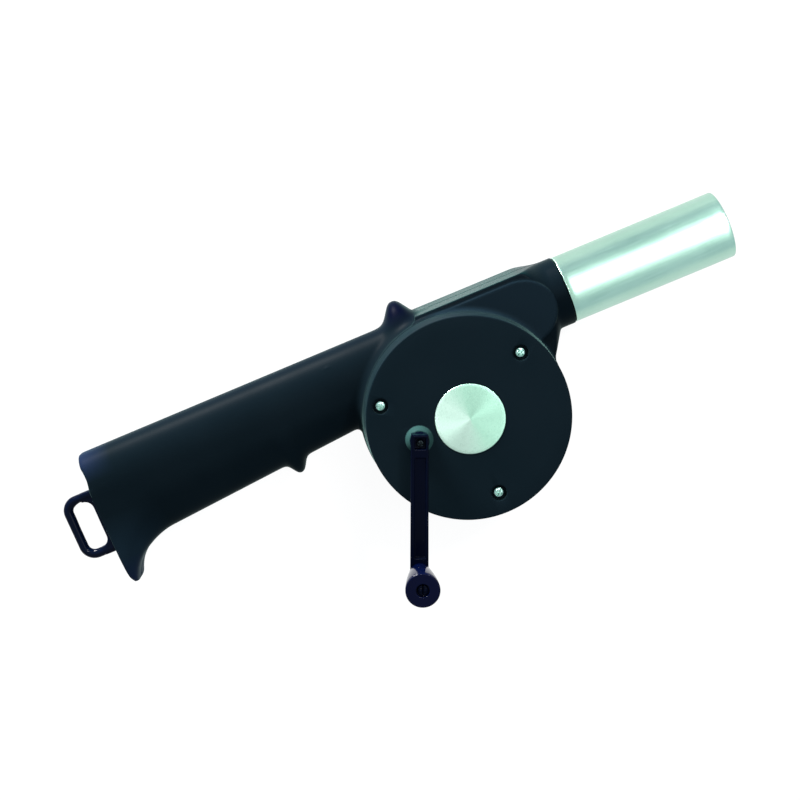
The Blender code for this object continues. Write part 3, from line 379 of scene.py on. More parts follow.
# each plastic: two shades, roughness and its spread, grain and ripple, and for the dark ones the index of refraction
bodyPlastic = mouldedPlastic(
    "bodyPlastic", (0.0014, 0.0036, 0.0055), (0.0022, 0.0048, 0.0070), 0.44, 0.05, 0.10, 0.02, ior=1.05)
coverPlastic = mouldedPlastic(
    "coverPlastic", (0.0025, 0.0061, 0.0088), (0.0034, 0.0073, 0.0104), 0.46, 0.05, 0.12, 0.02, ior=1.05)
glossPlastic = mouldedPlastic(
    "glossPlastic", (0.0003, 0.0009, 0.0040), (0.0006, 0.0015, 0.0066), 0.14, 0.03, 0.008, 0.03, ior=1.10)
knobPlastic = mouldedPlastic(
    "knobPlastic", (0.0002, 0.0010, 0.0092), (0.0004, 0.0015, 0.0125), 0.12, 0.03, 0.008, 0.03, ior=1.15)
loopPlastic = mouldedPlastic(
    "loopPlastic", (0.0003, 0.0014, 0.0056), (0.0006, 0.0022, 0.0086), 0.13, 0.03, 0.008, 0.03, ior=1.14)
nylon = mouldedPlastic("naturalNylon", (0.58, 0.56, 0.47), (0.66, 0.63, 0.54), 0.42, 0.05, 0.05, 0.03)
fanPlastic = mouldedPlastic("fanPlastic", (0.045, 0.050, 0.056), (0.060, 0.064, 0.070), 0.45, 0.05, 0.10, 0.03)
# each metal: two shades, roughness and its spread, scale and height of its lines, and the way that they run
tubeMetal = drawnMetal(
    "satinTube", (0.37, 0.60, 0.49), (0.44, 0.67, 0.56), 0.21, 0.03, 2200.0, 0.000004, stretch=(0.03, 1.0, 1.0))
zinc = drawnMetal("zincPlate", (0.20, 0.38, 0.33), (0.44, 0.66, 0.60), 0.26, 0.08, 900.0, 0.000006)
darkSteel = drawnMetal("blackedSteel", (0.006, 0.009, 0.011), (0.018, 0.024, 0.028), 0.32, 0.08, 900.0, 0.000006)
pinSteel = drawnMetal(
    "groundSteel", (0.55, 0.57, 0.57), (0.68, 0.70, 0.70), 0.22, 0.05, 2500.0, 0.000003, stretch=(1.0, 1.0, 0.03))
bronze = drawnMetal("sinteredBronze", (0.42, 0.27, 0.13), (0.58, 0.40, 0.22), 0.42, 0.08, 1800.0, 0.00001)
for material, sheen in ((bodyPlastic, 0.06), (coverPlastic, 0.03)):
    setInputs(material.node_tree, material.node_tree.nodes["Principled BSDF"], {
        "Sheen Weight": sheen, "Sheen Roughness": 0.35, "Sheen Tint": (0.52, 1.0, 0.90, 1)})
brushedRound(tubeMetal.node_tree, tubeMetal.node_tree.nodes["Principled BSDF"], "X", 1.0)

# zones of the body where light and shade are painted into the colour: colour, then the ramps whose product is its mask
# painted sheen: a navy blue on the heel's tip and top that stands in for the sheen of light on them
heelSheenBlue = (0.0044, 0.0085, 0.0220)
bodyPaintedLight = {
    # painted light: the duct's flat panel paler than the duct round it
    "ductPanel": ((0.0034, 0.0078, 0.0118), (("X", -2, 6), ("Z", 33.3, 33.8))),
    # painted light: the pommel paler, a painted glow along the grip's lower edge
    "pommel": ((0.0040, 0.0094, 0.0150), (("X", -138, -154), ("Y", 18, 0))),
    # painted shade: the thumb rest darker, taking away light that falls on it
    "thumbRest": ((0.0006, 0.0012, 0.0060), (("Y", 44.5, 51), ("X", -3.5, -6.5))),
    # painted reflection: the duct's top strip tinted teal, for the teal light reflected from it
    "ductTop": ((0.0020, 0.0150, 0.0145), (("Y", 42.5, 44), ("X", -5, -2), ("Z", 33.0, 32.7), ("X", 48, 41))),
    "heelTip": (heelSheenBlue, (("X", -142, -152), ("Y", -2, -12))),
    "heelTop": (heelSheenBlue, (("X", -150, -164), ("Y", 34, 43))),
}
# the side of the drum is rougher towards the handle, and the duct's top is smoother
bodyPolish = {
    "drumRough": 0.45, "drumReach": (46.8, 46.5), "drumSpans": (("X", -16, -36),),
    "topSmooth": 0.20, "topSpans": (("Y", 42.5, 44), ("X", -5, -2)),
}
# painted highlight: colour, reach and levels of a paler ring on the boss under the crank
bossHighlight = {"colour": (0.015, 0.040, 0.038), "reach": (6.1, 5.8), "spans": (("Z", 50.0, 50.8),)}


def within(tree, spot, reach, spans):
    # mask of what lies nearer to the axis than a reach and within the spans
    ramp = remap(tree, fromAxis(tree, spot), reach[0] * mm, reach[1] * mm)
    return calc(tree, "MULTIPLY", ramp, zone(tree, spot, spans))


def tintBody():
    # lays the zones' painted light and shade over the body's plastic and adds to its roughness or takes from it
    tree, p = bodyPlastic.node_tree, bodyPolish
    shader, spot = tree.nodes["Principled BSDF"], objectPlace(tree)
    colour, roughness = [shader.inputs[name].links[0].from_socket for name in ("Base Color", "Roughness")]
    for shade, spans in bodyPaintedLight.values():
        colour = blendColour(tree, zone(tree, spot, spans), colour, shade)
    drumSide = calc(tree, "MULTIPLY", within(tree, spot, p["drumReach"], p["drumSpans"]), p["drumRough"])
    smooth = calc(tree, "MULTIPLY", zone(tree, spot, p["topSpans"]), p["topSmooth"])
    roughness = calc(tree, "SUBTRACT", calc(tree, "ADD", roughness, drumSide), smooth)
    setInputs(tree, shader, {"Base Color": colour, "Roughness": roughness})


def paintBossHighlight():
    # a painted highlight: a paler ring on the boss under the crank
    tree = coverPlastic.node_tree
    shader = tree.nodes["Principled BSDF"]
    highlightMask = within(tree, objectPlace(tree, crankPlace), bossHighlight["reach"], bossHighlight["spans"])
    plain = shader.inputs["Base Color"].links[0].from_socket
    setInputs(tree, shader, {"Base Color": blendColour(tree, highlightMask, plain, bossHighlight["colour"])})


tintBody()
paintBossHighlight()

# housing shells
housing = {
    "gap": 0.3, "wall": 2.0, "drumRadius": 46.2, "drumTaper": 1.8 / 18.5, "drumSlant": 0.9953, "drumEdge": 2.0,
    "seamEdge": 0.35, "chamberRadius": 42.4, "chamberLow": 2.0, "bulkheadZ": 32.0, "pocketRadius": 41.6,
    "drumToHandle": 3.2, "drumToPanel": 1.6, "handleToDuct": 1.2, "cutEdge": 0.25, "partingEdge": 0.15,
    "frontPost": 3.2, "rearPost": 4.4, "pilot": 1.6, "postOverlap": 2.0, "pilotDepth": 8.0,
}
# radius, low level and high level of the posts and bores
bores = {
    "coverPost": (3.2, 33.0, 45.7), "coverPilot": (1.6, 34.8, 50.0), "bearing": (4.2, 29.4, 33.0),
    "crankEnd": (2.5, 30.8, 40.0), "idlerEnd": (1.8, 30.8, 40.0), "shaft": (2.4, 28.0, 40.0),
    "counterbore": (2.95, -5.0, 9.0), "screwHole": (1.6, 0.0, 25.0), "hub": (5.3, 1.0, 6.4), "hubBore": (3.5, 2.0, 9.0),
}
grip = {
    "endX": -164.5, "endHollow": 0.8, "endHollowY": 35.8, "endHollowHalf": 4.0, "halfDepth": 13.6,
    "roundness": 2.6, "top": 47.1, "topTaper": 0.6, "underside": 6.5, "undersideSlope": 0.089, "heelEdge": 0.5,
    "pommelStart": -139.5, "pommelLength": 23.0, "pommelDrop": 9.9, "pommelCurve": 1.9, "tipDrop": 5.4,
    "tipCurve": 8.0, "pommelSquareness": 3.0, "pommelEdge": 3.6,
    "guardX": -76.9, "guardDrop": 5.8, "guardHalf": 3.6,
    "thumbX": -11.45, "thumbRise": 8.72, "thumbHalf": 5.7, "humpPower": 2.4,
    "endWall": 6.5, "hollowEndX": -27.0, "innerEndX": 2.0, "innerEdge": 1.0,
}
duct = {
    "top": 47.35, "lean": 0.034, "leanY": 20.0, "lowestY": -4.0, "halfDepth": 15.2, "startX": -5.0, "endX": 60.0,
    "turnStart": 43.0, "turnEnd": 55.0, "riseStart": 44.0, "riseRun": 12.0, "cornerRadius": 0.5, "hollowEndX": 52.0,
    "collarY": 31.5, "collarRadius": 15.3, "throatSlope": 1.16, "throatRun": 7.4,
    "spigotRadius": 13.9, "spigotStart": 40.0, "spigotEnd": 72.0,
    "boreRadius": 12.3, "boreStart": 44.0, "boreEnd": 80.0,
    "panelStraight": 38.0, "panelNose": 16.0, "panelHalf": 14.1, "panelY": 30.5, "panelBackX": -6.0, "panelEdge": 0.45,
}
grille = {
    "first": 11.2, "pitch": 6.2, "rings": 3, "halfSlot": 1.7, "halfSpoke": 1.5, "corner": 1.2, "edge": 0.35,
    "halfDepth": 3.5,
}
loopSlot = {"middleY": 15.2, "halfY": 6.3, "halfZ": 1.8, "endX": -156.0}
# (start, end, step) spans of the grid that the shells' distance field is worked out on
shellGrid = {
    "x": ((-166.3, -84.0, 1.0), (-84.0, -70.0, 0.6), (-70.0, -50.0, 0.9), (-50.0, 58.6, 0.62), (58.6, 62.0, 0.3),
          (62.0, 73.3, 0.62)),
    "y": ((-49.0, 40.0, 0.68), (40.0, 59.0, 0.5)),
    "frontZ": ((17.5, 19.1, 0.32), (19.1, 31.5, 0.65), (31.5, 37.5, 0.4), (37.5, 46.5, 0.75)),
    "rearZ": ((-0.9, 3.9, 0.4), (3.9, 16.9, 0.65), (16.9, 18.5, 0.32)),
}


def handleField(y, z, xs, ys, zs):
    # oval section whose lower and upper edges follow the pommel, the finger guard and the thumb rest; the lower
    # half gets squarer towards the pommel's tip
    g = grip
    x = xs.astype(np.float64)
    flare = np.clip((g["pommelStart"] - x) / g["pommelLength"], 0.0, 1.0)
    top = g["top"] + g["topTaper"] * x / -g["endX"]
    rise = g["thumbRise"] * hump(x, g["thumbX"], g["thumbHalf"], g["humpPower"])
    low = g["underside"] + g["undersideSlope"] * (x - g["endX"] / 2)
    low = low - g["pommelDrop"] * flare ** g["pommelCurve"] - g["tipDrop"] * flare ** g["tipCurve"]
    low = low - g["guardDrop"] * hump(x, g["guardX"], g["guardHalf"], g["humpPower"])
    end = np.clip((x - g["endX"]) / g["pommelEdge"], 0.0, 1.0)
    low = low + g["pommelEdge"] * (1 - np.sqrt(1 - (1 - end) ** 2))
    middle = (top + g["underside"]) / 2
    up, down, centre = [v.astype(np.float32)[:, None, None] for v in (top + rise - middle, middle - low, middle)]
    power = (g["roundness"] + g["pommelSquareness"] * flare).astype(np.float32)[:, None, None]
    offset = y - centre
    power = np.where(offset > 0, np.float32(g["roundness"]), power)
    across = np.where(offset > 0, offset / up, -offset / down)
    deep = np.abs(z - partingZ) / g["halfDepth"]
    oval = (across ** power + deep ** power) ** (1 / power) - 1
    oval = evened(oval.astype(np.float32), xs, ys, zs)
    return np.clip(oval, -8.0, 12.0)


def ductField(y, z, xs, ys, zs):
    # distance to a rectangle whose corners grow until it is the collar's circle; its top leans a little
    d = duct
    x = xs.astype(np.float64)
    turn = ease((x - d["turnStart"]) / (d["turnEnd"] - d["turnStart"]))
    collarLow, collarHigh = d["collarY"] - d["collarRadius"], d["collarY"] + d["collarRadius"]
    top = d["top"] + (collarHigh - d["top"]) * ease((x - d["riseStart"]) / d["riseRun"])
    throat = d["throatSlope"] * np.maximum(d["endX"] - d["throatRun"] - x, 0)
    low = np.maximum(collarLow - throat, d["lowestY"])
    deep = d["halfDepth"] + (d["collarRadius"] - d["halfDepth"]) * turn
    radius = d["cornerRadius"] + (d["collarRadius"] - 0.02 - d["cornerRadius"]) * turn
    middle, half, deep, radius, straight = [v.astype(np.float32)[:, None, None] for v in
                                            ((top + low) / 2, (top - low) / 2, deep, radius, 1 - turn)]
    leaning = d["lean"] * (z - partingZ) * straight * np.clip((y - d["leanY"]) / d["leanY"], 0, 1)
    qy = np.abs(y + leaning - middle) - (half - radius)
    qz = np.abs(z - partingZ) - (deep - radius)
    field = np.hypot(np.maximum(qy, 0), np.maximum(qz, 0)) + np.minimum(np.maximum(qy, qz), 0) - radius
    return evened(field.astype(np.float32), xs, ys, zs)


def drumField(radius, z):
    # cone that narrows both ways from the parting line, rounded at the back and cut off at the seam
    h = housing
    side = (radius - (h["drumRadius"] - h["drumTaper"] * np.abs(z - partingZ))) * h["drumSlant"]
    return roundCut(roundCut(side, -z + 0 * radius, h["drumEdge"]), z - seamZ, h["seamEdge"])


def panelField(x, y, z):
    # raised flat plate with a straight part and a half-oval nose
    d = duct
    px, py = np.maximum(x - d["panelStraight"], 0.0), y - d["panelY"]
    share = np.hypot(px / d["panelNose"], py / d["panelHalf"])
    slope = np.hypot(px / d["panelNose"] ** 2, py / d["panelHalf"] ** 2)
    outline = share * (share - 1) / np.maximum(slope, 1e-4)
    plate = roundCut(outline, np.abs(z - partingZ) - (faceZ - partingZ), d["panelEdge"])
    return roundCut(plate, d["panelBackX"] - x, 0.3)


def grilleField(x, y):
    # rings of slots between six spokes: negative inside a slot
    radius, spoke = np.hypot(x, y), np.mod(np.arctan2(y, x), np.pi / 3) - np.pi / 6
    fromSpoke = radius * np.sin(np.pi / 6 - np.abs(spoke)) - grille["halfSpoke"]
    ring = np.min([np.abs(radius - grille["first"] - grille["pitch"] * k) for k in range(grille["rings"])], axis=0)
    return roundCut(ring - grille["halfSlot"], -fromSpoke, grille["corner"])


def depthUnder(place):
    # half depth of the housing at a screw, to the middle of its wall
    if place[0] > 0:
        return duct["halfDepth"] - 1.0
    middle = (grip["top"] + grip["underside"]) / 2
    share = abs(place[1] - middle) / (grip["top"] - middle)
    return grip["halfDepth"] * (1 - share ** grip["roundness"]) ** (1 / grip["roundness"]) - 1.0


def makeShell(name, front):
    # outer form less the hollows, then posts, holes and the parting face, as one distance field
    h, d, g = housing, duct, grip
    xs, ys, zs = [levels(*shellGrid[axis]) for axis in ("x", "y", "frontZ" if front else "rearZ")]
    x, y, z = xs[:, None, None], ys[None, :, None], zs[None, None, :]
    radius = np.hypot(x, y)
    handle = handleField(y, z, xs, ys, zs)
    handleIn = handle + h["wall"]
    endAt = g["endX"] + g["endHollow"] * hump(y, g["endHollowY"], g["endHollowHalf"], g["humpPower"])
    handle = roundCut(handle, endAt - x + 0 * handle, g["heelEdge"])
    handle = roundCut(handle, x - g["innerEndX"] + 0 * handle, g["innerEdge"])
    air = ductField(y, z, xs, ys, zs)
    airIn = air + h["wall"]
    air = roundCut(air, np.maximum(d["startX"] - x, x - d["endX"]) + 0 * air, 0.3)
    drum = drumField(radius, z)
    body = roundUnion(roundUnion(air, panelField(x, y, z), 0.5), drum, h["drumToPanel"])
    body = np.minimum(body, roundUnion(handle, drum, h["drumToHandle"]))
    body = np.minimum(body, roundUnion(handle, air, h["handleToDuct"]))
    axis = np.hypot(y - d["collarY"], z - partingZ)
    spigotEnds = np.maximum(d["spigotStart"] - x, x - d["spigotEnd"]) + 0 * axis
    spigot = roundCut(axis - d["spigotRadius"] + 0 * x, spigotEnds, 0.6)
    body = np.minimum(body, spigot)
    chamber = np.maximum(radius - h["chamberRadius"] + 0 * z, np.maximum(h["chamberLow"] - z, z - h["bulkheadZ"]))
    hollow = np.maximum(handleIn, np.maximum(g["endX"] + g["endWall"] - x,
                                             np.maximum(x - g["hollowEndX"], h["drumRadius"] - radius)))
    airHollow = np.maximum(airIn, np.maximum(-x, x - d["hollowEndX"]))
    bore = np.maximum(axis - d["boreRadius"] + 0 * x, np.maximum(d["boreStart"] - x, x - d["boreEnd"]))
    cavity = np.minimum(np.minimum(chamber, hollow), np.minimum(airHollow, bore))
    if front:
        cavity = np.minimum(cavity, np.maximum(radius - h["pocketRadius"] + 0 * z, faceZ - z))
    body = roundCut(body, -cavity, h["cutEdge"])
    s = loopSlot
    slot = np.maximum(np.abs(y - s["middleY"]) - s["halfY"], np.abs(z - partingZ) - s["halfZ"])
    body = np.maximum(body, -np.maximum(slot, x - s["endX"]))
    if front:
        for place in coverScrews:
            body = roundUnion(body, post(x, y, z, place, *bores["coverPost"]), 0.8)
            body = np.maximum(body, -post(x, y, z, place, *bores["coverPilot"]))
        for place, bore in ((crankPlace, "crankEnd"), (idlerPlace, "idlerEnd")):
            body = roundUnion(body, post(x, y, z, place, *bores["bearing"]), 0.6)
            body = np.maximum(body, -post(x, y, z, place, *bores[bore]))
        body = np.maximum(body, -post(x, y, z, (0, 0), *bores["shaft"]))
    for place in bodyScrews:
        depth = depthUnder(place)
        if front:
            low = partingZ - h["postOverlap"]
            body = np.minimum(body, post(x, y, z, place, h["frontPost"], low, partingZ + depth))
            body = np.maximum(body, -post(x, y, z, place, h["pilot"], partingZ - h["pilotDepth"], low + depth))
        else:
            body = np.minimum(body, post(x, y, z, place, h["rearPost"], partingZ - depth, partingZ + h["postOverlap"]))
            body = roundCut(body, -post(x, y, z, place, *bores["counterbore"]), 0.4)
            body = np.maximum(body, -post(x, y, z, place, *bores["screwHole"]))
    if front:
        body = roundCut(body, partingZ + h["gap"] / 2 - z + 0 * body, h["partingEdge"])
    else:
        slots = np.maximum(grilleField(x, y), np.abs(z) - grille["halfDepth"])
        body = roundCut(body, -slots, grille["edge"])
        body = roundUnion(body, post(x, y, z, (0, 0), *bores["hub"]), 0.8)
        body = np.maximum(body, -post(x, y, z, (0, 0), *bores["hubBore"]))
        body = roundCut(body, z - (partingZ - h["gap"] / 2) + 0 * body, h["partingEdge"])
    return makeMesh(name, *surfaceNet(body.astype(np.float32), xs, ys, zs))


print("housing shells")
finishPiece(makeShell("frontShell", True), "housing", "front_shell", bodyPlastic)
finishPiece(makeShell("rearShell", False), "housing", "rear_shell", bodyPlastic)

# gear cover and label
cover = {
    "radius": 44.4, "frontRadius": 43.5, "low": 36.8, "edge": 0.5, "inner": 48.6,
    "lipOuter": 41.3, "lipInner": 40.1, "lipLow": 34.5, "wellRadius": 3.4, "wellZ": 47.6, "cupZ": 46.0,
    "bossRadius": 5.8, "bossTop": 4.5, "bossZ": 53.0, "boreRadius": 3.3,
    "reliefRadius": 3.5, "reliefLow": 32.5, "reliefHigh": 46.5, "cupRadius": 4.6, "pilot": 1.6, "flare": 0.3,
    "bushBoss": 5.3, "bushLow": 44.2, "bushBore": 3.5, "idlerBoss": 3.5, "idlerBore": 1.8,
}
label = {"place": (0.4, -0.2), "radius": 15.0, "low": 50.4, "thickness": 0.4, "recessRadius": 15.3, "recessZ": 50.1}


def makeCover():
    # turned shell with a rounded front edge; bosses and cups joined on, and wells cut with a flared mouth
    c = cover
    front = [(r, coverZ) for r in np.linspace(0, c["frontRadius"] - c["edge"], 8)]
    side = corner((c["frontRadius"] - c["edge"], coverZ - c["edge"]), c["edge"], 80, 4, 7)
    rim = corner((c["radius"] - 0.3, c["low"] + 0.3), 0.3, 0, -90, 4)
    lip = [(c["lipOuter"], c["low"]), (c["lipOuter"], c["lipLow"] + 0.3), (c["lipOuter"] - 0.3, c["lipLow"]),
           (c["lipInner"], c["lipLow"]), (c["frontRadius"] - 2.0, c["inner"]), (0.0, c["inner"])]
    piece = turnedPiece("gearCover", front + side + rim + lip, 288)
    relief = [(0, c["reliefLow"]), (c["reliefRadius"], c["reliefLow"]), (c["reliefRadius"], c["reliefHigh"]),
              (0, c["reliefHigh"])]
    reliefs = [turnedPiece(f"relief{k}", relief, 48, place) for k, place in enumerate(coverScrews)]
    carve(piece, reliefs)
    r = c["bossRadius"]
    boss = [(0, c["bossZ"])] + corner((c["bossTop"] - 0.5, c["bossZ"] - 0.5), 0.5, 90, 30, 5) + [(r, coverZ + 0.35)]
    boss += corner((r + 0.35, coverZ + 0.35), 0.35, 200, 270, 5) + [(r + 0.35, c["inner"] + 0.5), (0, c["inner"] + 0.5)]
    additions = [turnedPiece("crankBoss", boss, 96, crankPlace)]
    web = c["inner"] + 1.0
    bosses = [(f"cup{k}", place, c["cupRadius"], c["cupZ"]) for k, place in enumerate(coverScrews)]
    bosses += [("bushBoss", (0, 0), c["bushBoss"], c["bushLow"]), ("idlerBoss", idlerPlace, c["idlerBoss"], c["cupZ"])]
    for name, place, radius, low in bosses:
        additions.append(turnedPiece(name, [(0, web), (radius, web), (radius, low), (0, low)], 64, place))
    cutters = []
    flare, wellRadius, hole = c["flare"], c["wellRadius"], c["pilot"]
    for k, place in enumerate(coverScrews):
        well = [(0, coverZ + 2), (wellRadius + 2 + flare, coverZ + 2)]
        well += corner((wellRadius + flare, coverZ - flare), flare, 90, 180, 5)
        cutters.append(turnedPiece(f"well{k}", well + [(wellRadius, c["wellZ"]), (0, c["wellZ"])], 64, place))
        cutters.append(turnedPiece(f"hole{k}", [(0, 49), (hole, 49), (hole, 44), (0, 44)], 32, place))
    for name, place, radius, low, high in (
            ("crankBore", crankPlace, c["boreRadius"], 44.0, 55.0),
            ("bushBore", (0, 0), c["bushBore"], 42.0, c["inner"]),
            ("idlerBore", idlerPlace, c["idlerBore"], 44.0, c["inner"]),
            ("labelRecess", label["place"], label["recessRadius"], label["recessZ"], 53)):
        cutters.append(turnedPiece(name, [(0, high), (radius, high), (radius, low), (0, low)], 128, place))
    return carve(piece, cutters, additions)


def makeLabel():
    # thin disc with a rounded edge
    r, top = label["radius"], label["low"] + label["thickness"]
    profile = [(t, top) for t in np.linspace(0, r - 0.3, 12)] + corner((r - 0.3, top - 0.3), 0.3, 80, 0, 7)
    return turnedPiece("labelDisc", profile + [(r, label["low"]), (0, label["low"])], 192, label["place"])


def foilFinish():
    # circular brushing: fine rings of noise in the radius, and a painted highlight that makes one side of the disc
    # paler than the other
    highlightAngle = 3.2
    material, tree, shader = newFinish("mintFoil", 0.27, metallic=1.0, ior=1.2)
    spot = objectPlace(tree, label["place"])
    radius, angle = fromAxis(tree, spot), calc(tree, "ARCTAN2", spot["Y"], spot["X"])
    join = newNode(tree, "CombineXYZ", X=calc(tree, "MULTIPLY", radius, 1400.0), Y=calc(tree, "MULTIPLY", angle, 0.6))
    rings = noise(tree, 9.0, 5.0, vector=join.outputs["Vector"], rough=0.7)
    # painted highlight: the disc is paler on the side round the angle given above
    highlightSide = remap(tree, calc(tree, "COSINE", calc(tree, "SUBTRACT", angle, highlightAngle)), -0.25, 0.55)
    darker = blendColour(tree, rings, (0.26, 0.47, 0.37), (0.32, 0.53, 0.43))
    paler = blendColour(tree, rings, (0.36, 0.53, 0.46), (0.45, 0.60, 0.53))
    setInputs(tree, shader, {
        "Base Color": blendColour(tree, highlightSide, darker, paler),
        "Roughness": remap(tree, rings, 0.3, 0.7, 0.24, 0.34)})
    addBump(tree, shader, rings, 0.000004)
    brushedRound(tree, shader, "Z", 0.6)
    return material


print("cover and label")
finishPiece(makeCover(), "housing", "gear_cover", coverPlastic)
finishPiece(makeLabel(), "housing", "label_disc", foilFinish())

# screws
screw = {
    "head": 2.35, "height": 1.8, "shank": 1.3, "slotHalf": 0.34, "slotReach": 1.5, "slotDepth": 1.2,
    "coverSeat": 47.9, "coverLength": 9.0, "coverTurns": (0.35, 1.0, 0.7), "bodySeat": 8.7, "bodyLength": 16.0,
}
crankScrew = {"head": 1.6, "height": 1.3, "shank": 0.975, "seat": 59.5, "length": 8.0}


def makeScrew(name, place, seat, length, upward=1, turn=0.0, sizes=screw):
    # pan head as height over a polar grid, sunk along two crossed slots, then the shank's profile below it
    head, height, shank = sizes["head"], sizes["height"], sizes["shank"]
    size = head / screw["head"]
    radii = np.concatenate([np.linspace(0, 0.92, 30), [0.955, 0.98, 0.995, 1.0]]) * head
    dome = height * (0.45 + 0.55 * (1 - (radii / head) ** 4) ** 0.5)
    steps = 144
    below = np.array([(head, 0.1), (head - 0.1, 0.0), (shank, 0.0), (shank, 0.9 * shank - length), (0.0, -length)])
    rows = np.concatenate([radii, below[:, 0]])
    rise = np.concatenate([dome, below[:, 1]])
    verts, quads = turnedGrid(np.stack([rows, rise], 1), steps)
    c, s = math.cos(turn), math.sin(turn)
    x, y = verts[:, 0] * c + verts[:, 1] * s, verts[:, 1] * c - verts[:, 0] * s
    near, far = np.minimum(np.abs(x), np.abs(y)), np.maximum(np.abs(x), np.abs(y))
    sink = ease((screw["slotHalf"] * size - near) / 0.16 + 0.5) * ease((screw["slotReach"] * size - far) / 0.3 + 0.5)
    verts[:, 2] -= np.where(verts[:, 2] > 0.25 * height, sink * screw["slotDepth"] * size, 0)
    verts[:, 2] *= upward
    verts += (place[0], place[1], seat)
    return closeUp(makeMesh(name, verts, quads), 40)


print("screws")
for k, place in enumerate(coverScrews):
    turn = screw["coverTurns"][k]
    piece = makeScrew(f"coverScrew{k + 1}", place, screw["coverSeat"], screw["coverLength"], turn=turn)
    finishPiece(piece, "housing", f"cover_screw_{k + 1}", zinc)
for k, place in enumerate(bodyScrews):
    piece = makeScrew(f"bodyScrew{k + 1}", place, screw["bodySeat"], screw["bodyLength"], upward=-1, turn=0.4 + 0.5 * k)
    finishPiece(piece, "housing", f"body_screw_{k + 1}", zinc)
piece = makeScrew("crankScrew", crankPlace, crankScrew["seat"], crankScrew["length"], turn=0.9, sizes=crankScrew)
finishPiece(piece, "crank", "crank_screw", darkSteel)

# nozzle tube
tube = {"start": 60.3, "end": 134.9, "radius": 15.0, "inner": 14.2}


def makeTube():
    # ring-ended tube turned round the nozzle's axis, with the turning axis laid along X
    t = tube
    r = (t["radius"] - t["inner"]) / 2
    middle = (t["radius"] + t["inner"]) / 2
    outer = [(t["radius"], h) for h in np.linspace(t["end"] - r, t["start"] + r, 24)]
    inner = [(t["inner"], h) for h in np.linspace(t["start"] + r, t["end"] - r, 24)]
    profile = outer + corner((middle, t["start"] + r), r, -15, -165, 7)
    profile += inner + corner((middle, t["end"] - r), r, 165, 15, 7)
    verts, quads = turnedGrid(profile + [profile[0]], 192)
    verts = np.stack([verts[:, 2], verts[:, 0] + duct["collarY"], verts[:, 1] + partingZ], 1)
    return closeUp(makeMesh("nozzleTube", verts, quads), 60)


print("tube")
finishPiece(makeTube(), "housing", "nozzle_tube", tubeMetal)

# hanging loop
loop = {
    "wire": 2.05, "rootX": -166.85, "farX": -180.25, "lowY": 2.3, "highY": 28.1, "corner": 5.0, "web": 4.0,
    "tongueHalf": 6.0, "tongueDeep": 1.5, "insideX": -157.7, "barLong": 3.0, "barDeep": 2.25,
    "footLow": (-165.2, 6.0, 16.2), "footHigh": (-164.0, 30.6, 19.8), "footFillet": 1.6, "rootEdge": 0.9,
}


def makeLoop():
    # wire at a constant distance from a rounded rectangle, filled in at its root, with a tongue into the handle
    p = loop
    xs, ys, zs = levels((-183.2, -153.6, 0.3)), levels((-0.6, 31.0, 0.3)), levels((14.9, 21.1, 0.3))
    x, y, z = xs[:, None, None], ys[None, :, None], zs[None, None, :]
    middleX, middleY = (p["rootX"] + p["farX"]) / 2, (p["lowY"] + p["highY"]) / 2
    halfX, halfY = (p["rootX"] - p["farX"]) / 2, (p["highY"] - p["lowY"]) / 2
    radius = np.where(x < middleX, p["corner"], 2.0)
    qx, qy = np.abs(x - middleX) - (halfX - radius), np.abs(y - middleY) - (halfY - radius)
    ring = np.hypot(np.maximum(qx, 0), np.maximum(qy, 0)) + np.minimum(np.maximum(qx, qy), 0) - radius
    farShare, highShare = ease((middleX - x) / 3), ease((y - middleY) / 6)
    inward = 1 + 0.03 * farShare + highShare * (0.26 * farShare - 0.18)
    wire = np.hypot(np.where(ring < 0, ring / inward, ring), z - partingZ) - p["wire"]
    eye = [p["farX"] + p["wire"] + 0.3, p["rootX"] - p["wire"] + 0.3]
    qx = np.maximum(x - (eye[1] - p["web"]), 0)
    qy = np.abs(y - middleY) - (halfY - p["wire"] - p["web"])
    hole = np.hypot(qx, np.maximum(qy, 0)) - p["web"]
    deep = np.abs(z - partingZ) - p["wire"]
    root = roundCut(np.maximum(-hole, np.maximum(eye[1] - p["web"] - x, x - (p["rootX"] + p["wire"]))) + 0 * deep,
                    deep + 0 * (x + y), p["rootEdge"])
    root = roundCut(root, np.abs(y - middleY) - (halfY + p["wire"] - 0.1) + 0 * root, p["rootEdge"])
    body = roundUnion(wire, root, 0.4)
    body = roundUnion(body, boxField(x, y, z, p["footLow"], p["footHigh"], 0.2), p["footFillet"])
    flat = np.maximum(x - (p["rootX"] + p["wire"]), body)
    tongue = boxField(x, y, z, (p["rootX"], middleY - p["tongueHalf"], partingZ - p["tongueDeep"]),
                      (p["insideX"] + 1.5, middleY + p["tongueHalf"], partingZ + p["tongueDeep"]), 0.3)
    reach = p["tongueHalf"] + p["barLong"]
    bar = boxField(x, y, z, (p["insideX"], middleY - reach, partingZ - p["barDeep"]),
                   (p["insideX"] + 3, middleY + reach, partingZ + p["barDeep"]), 0.4)
    field = np.minimum(np.minimum(flat, tongue), bar)
    return makeMesh("hangingLoop", *surfaceNet(field.astype(np.float32), xs, ys, zs))


print("loop")
finishPiece(makeLoop(), "housing", "hanging_loop", loopPlastic)

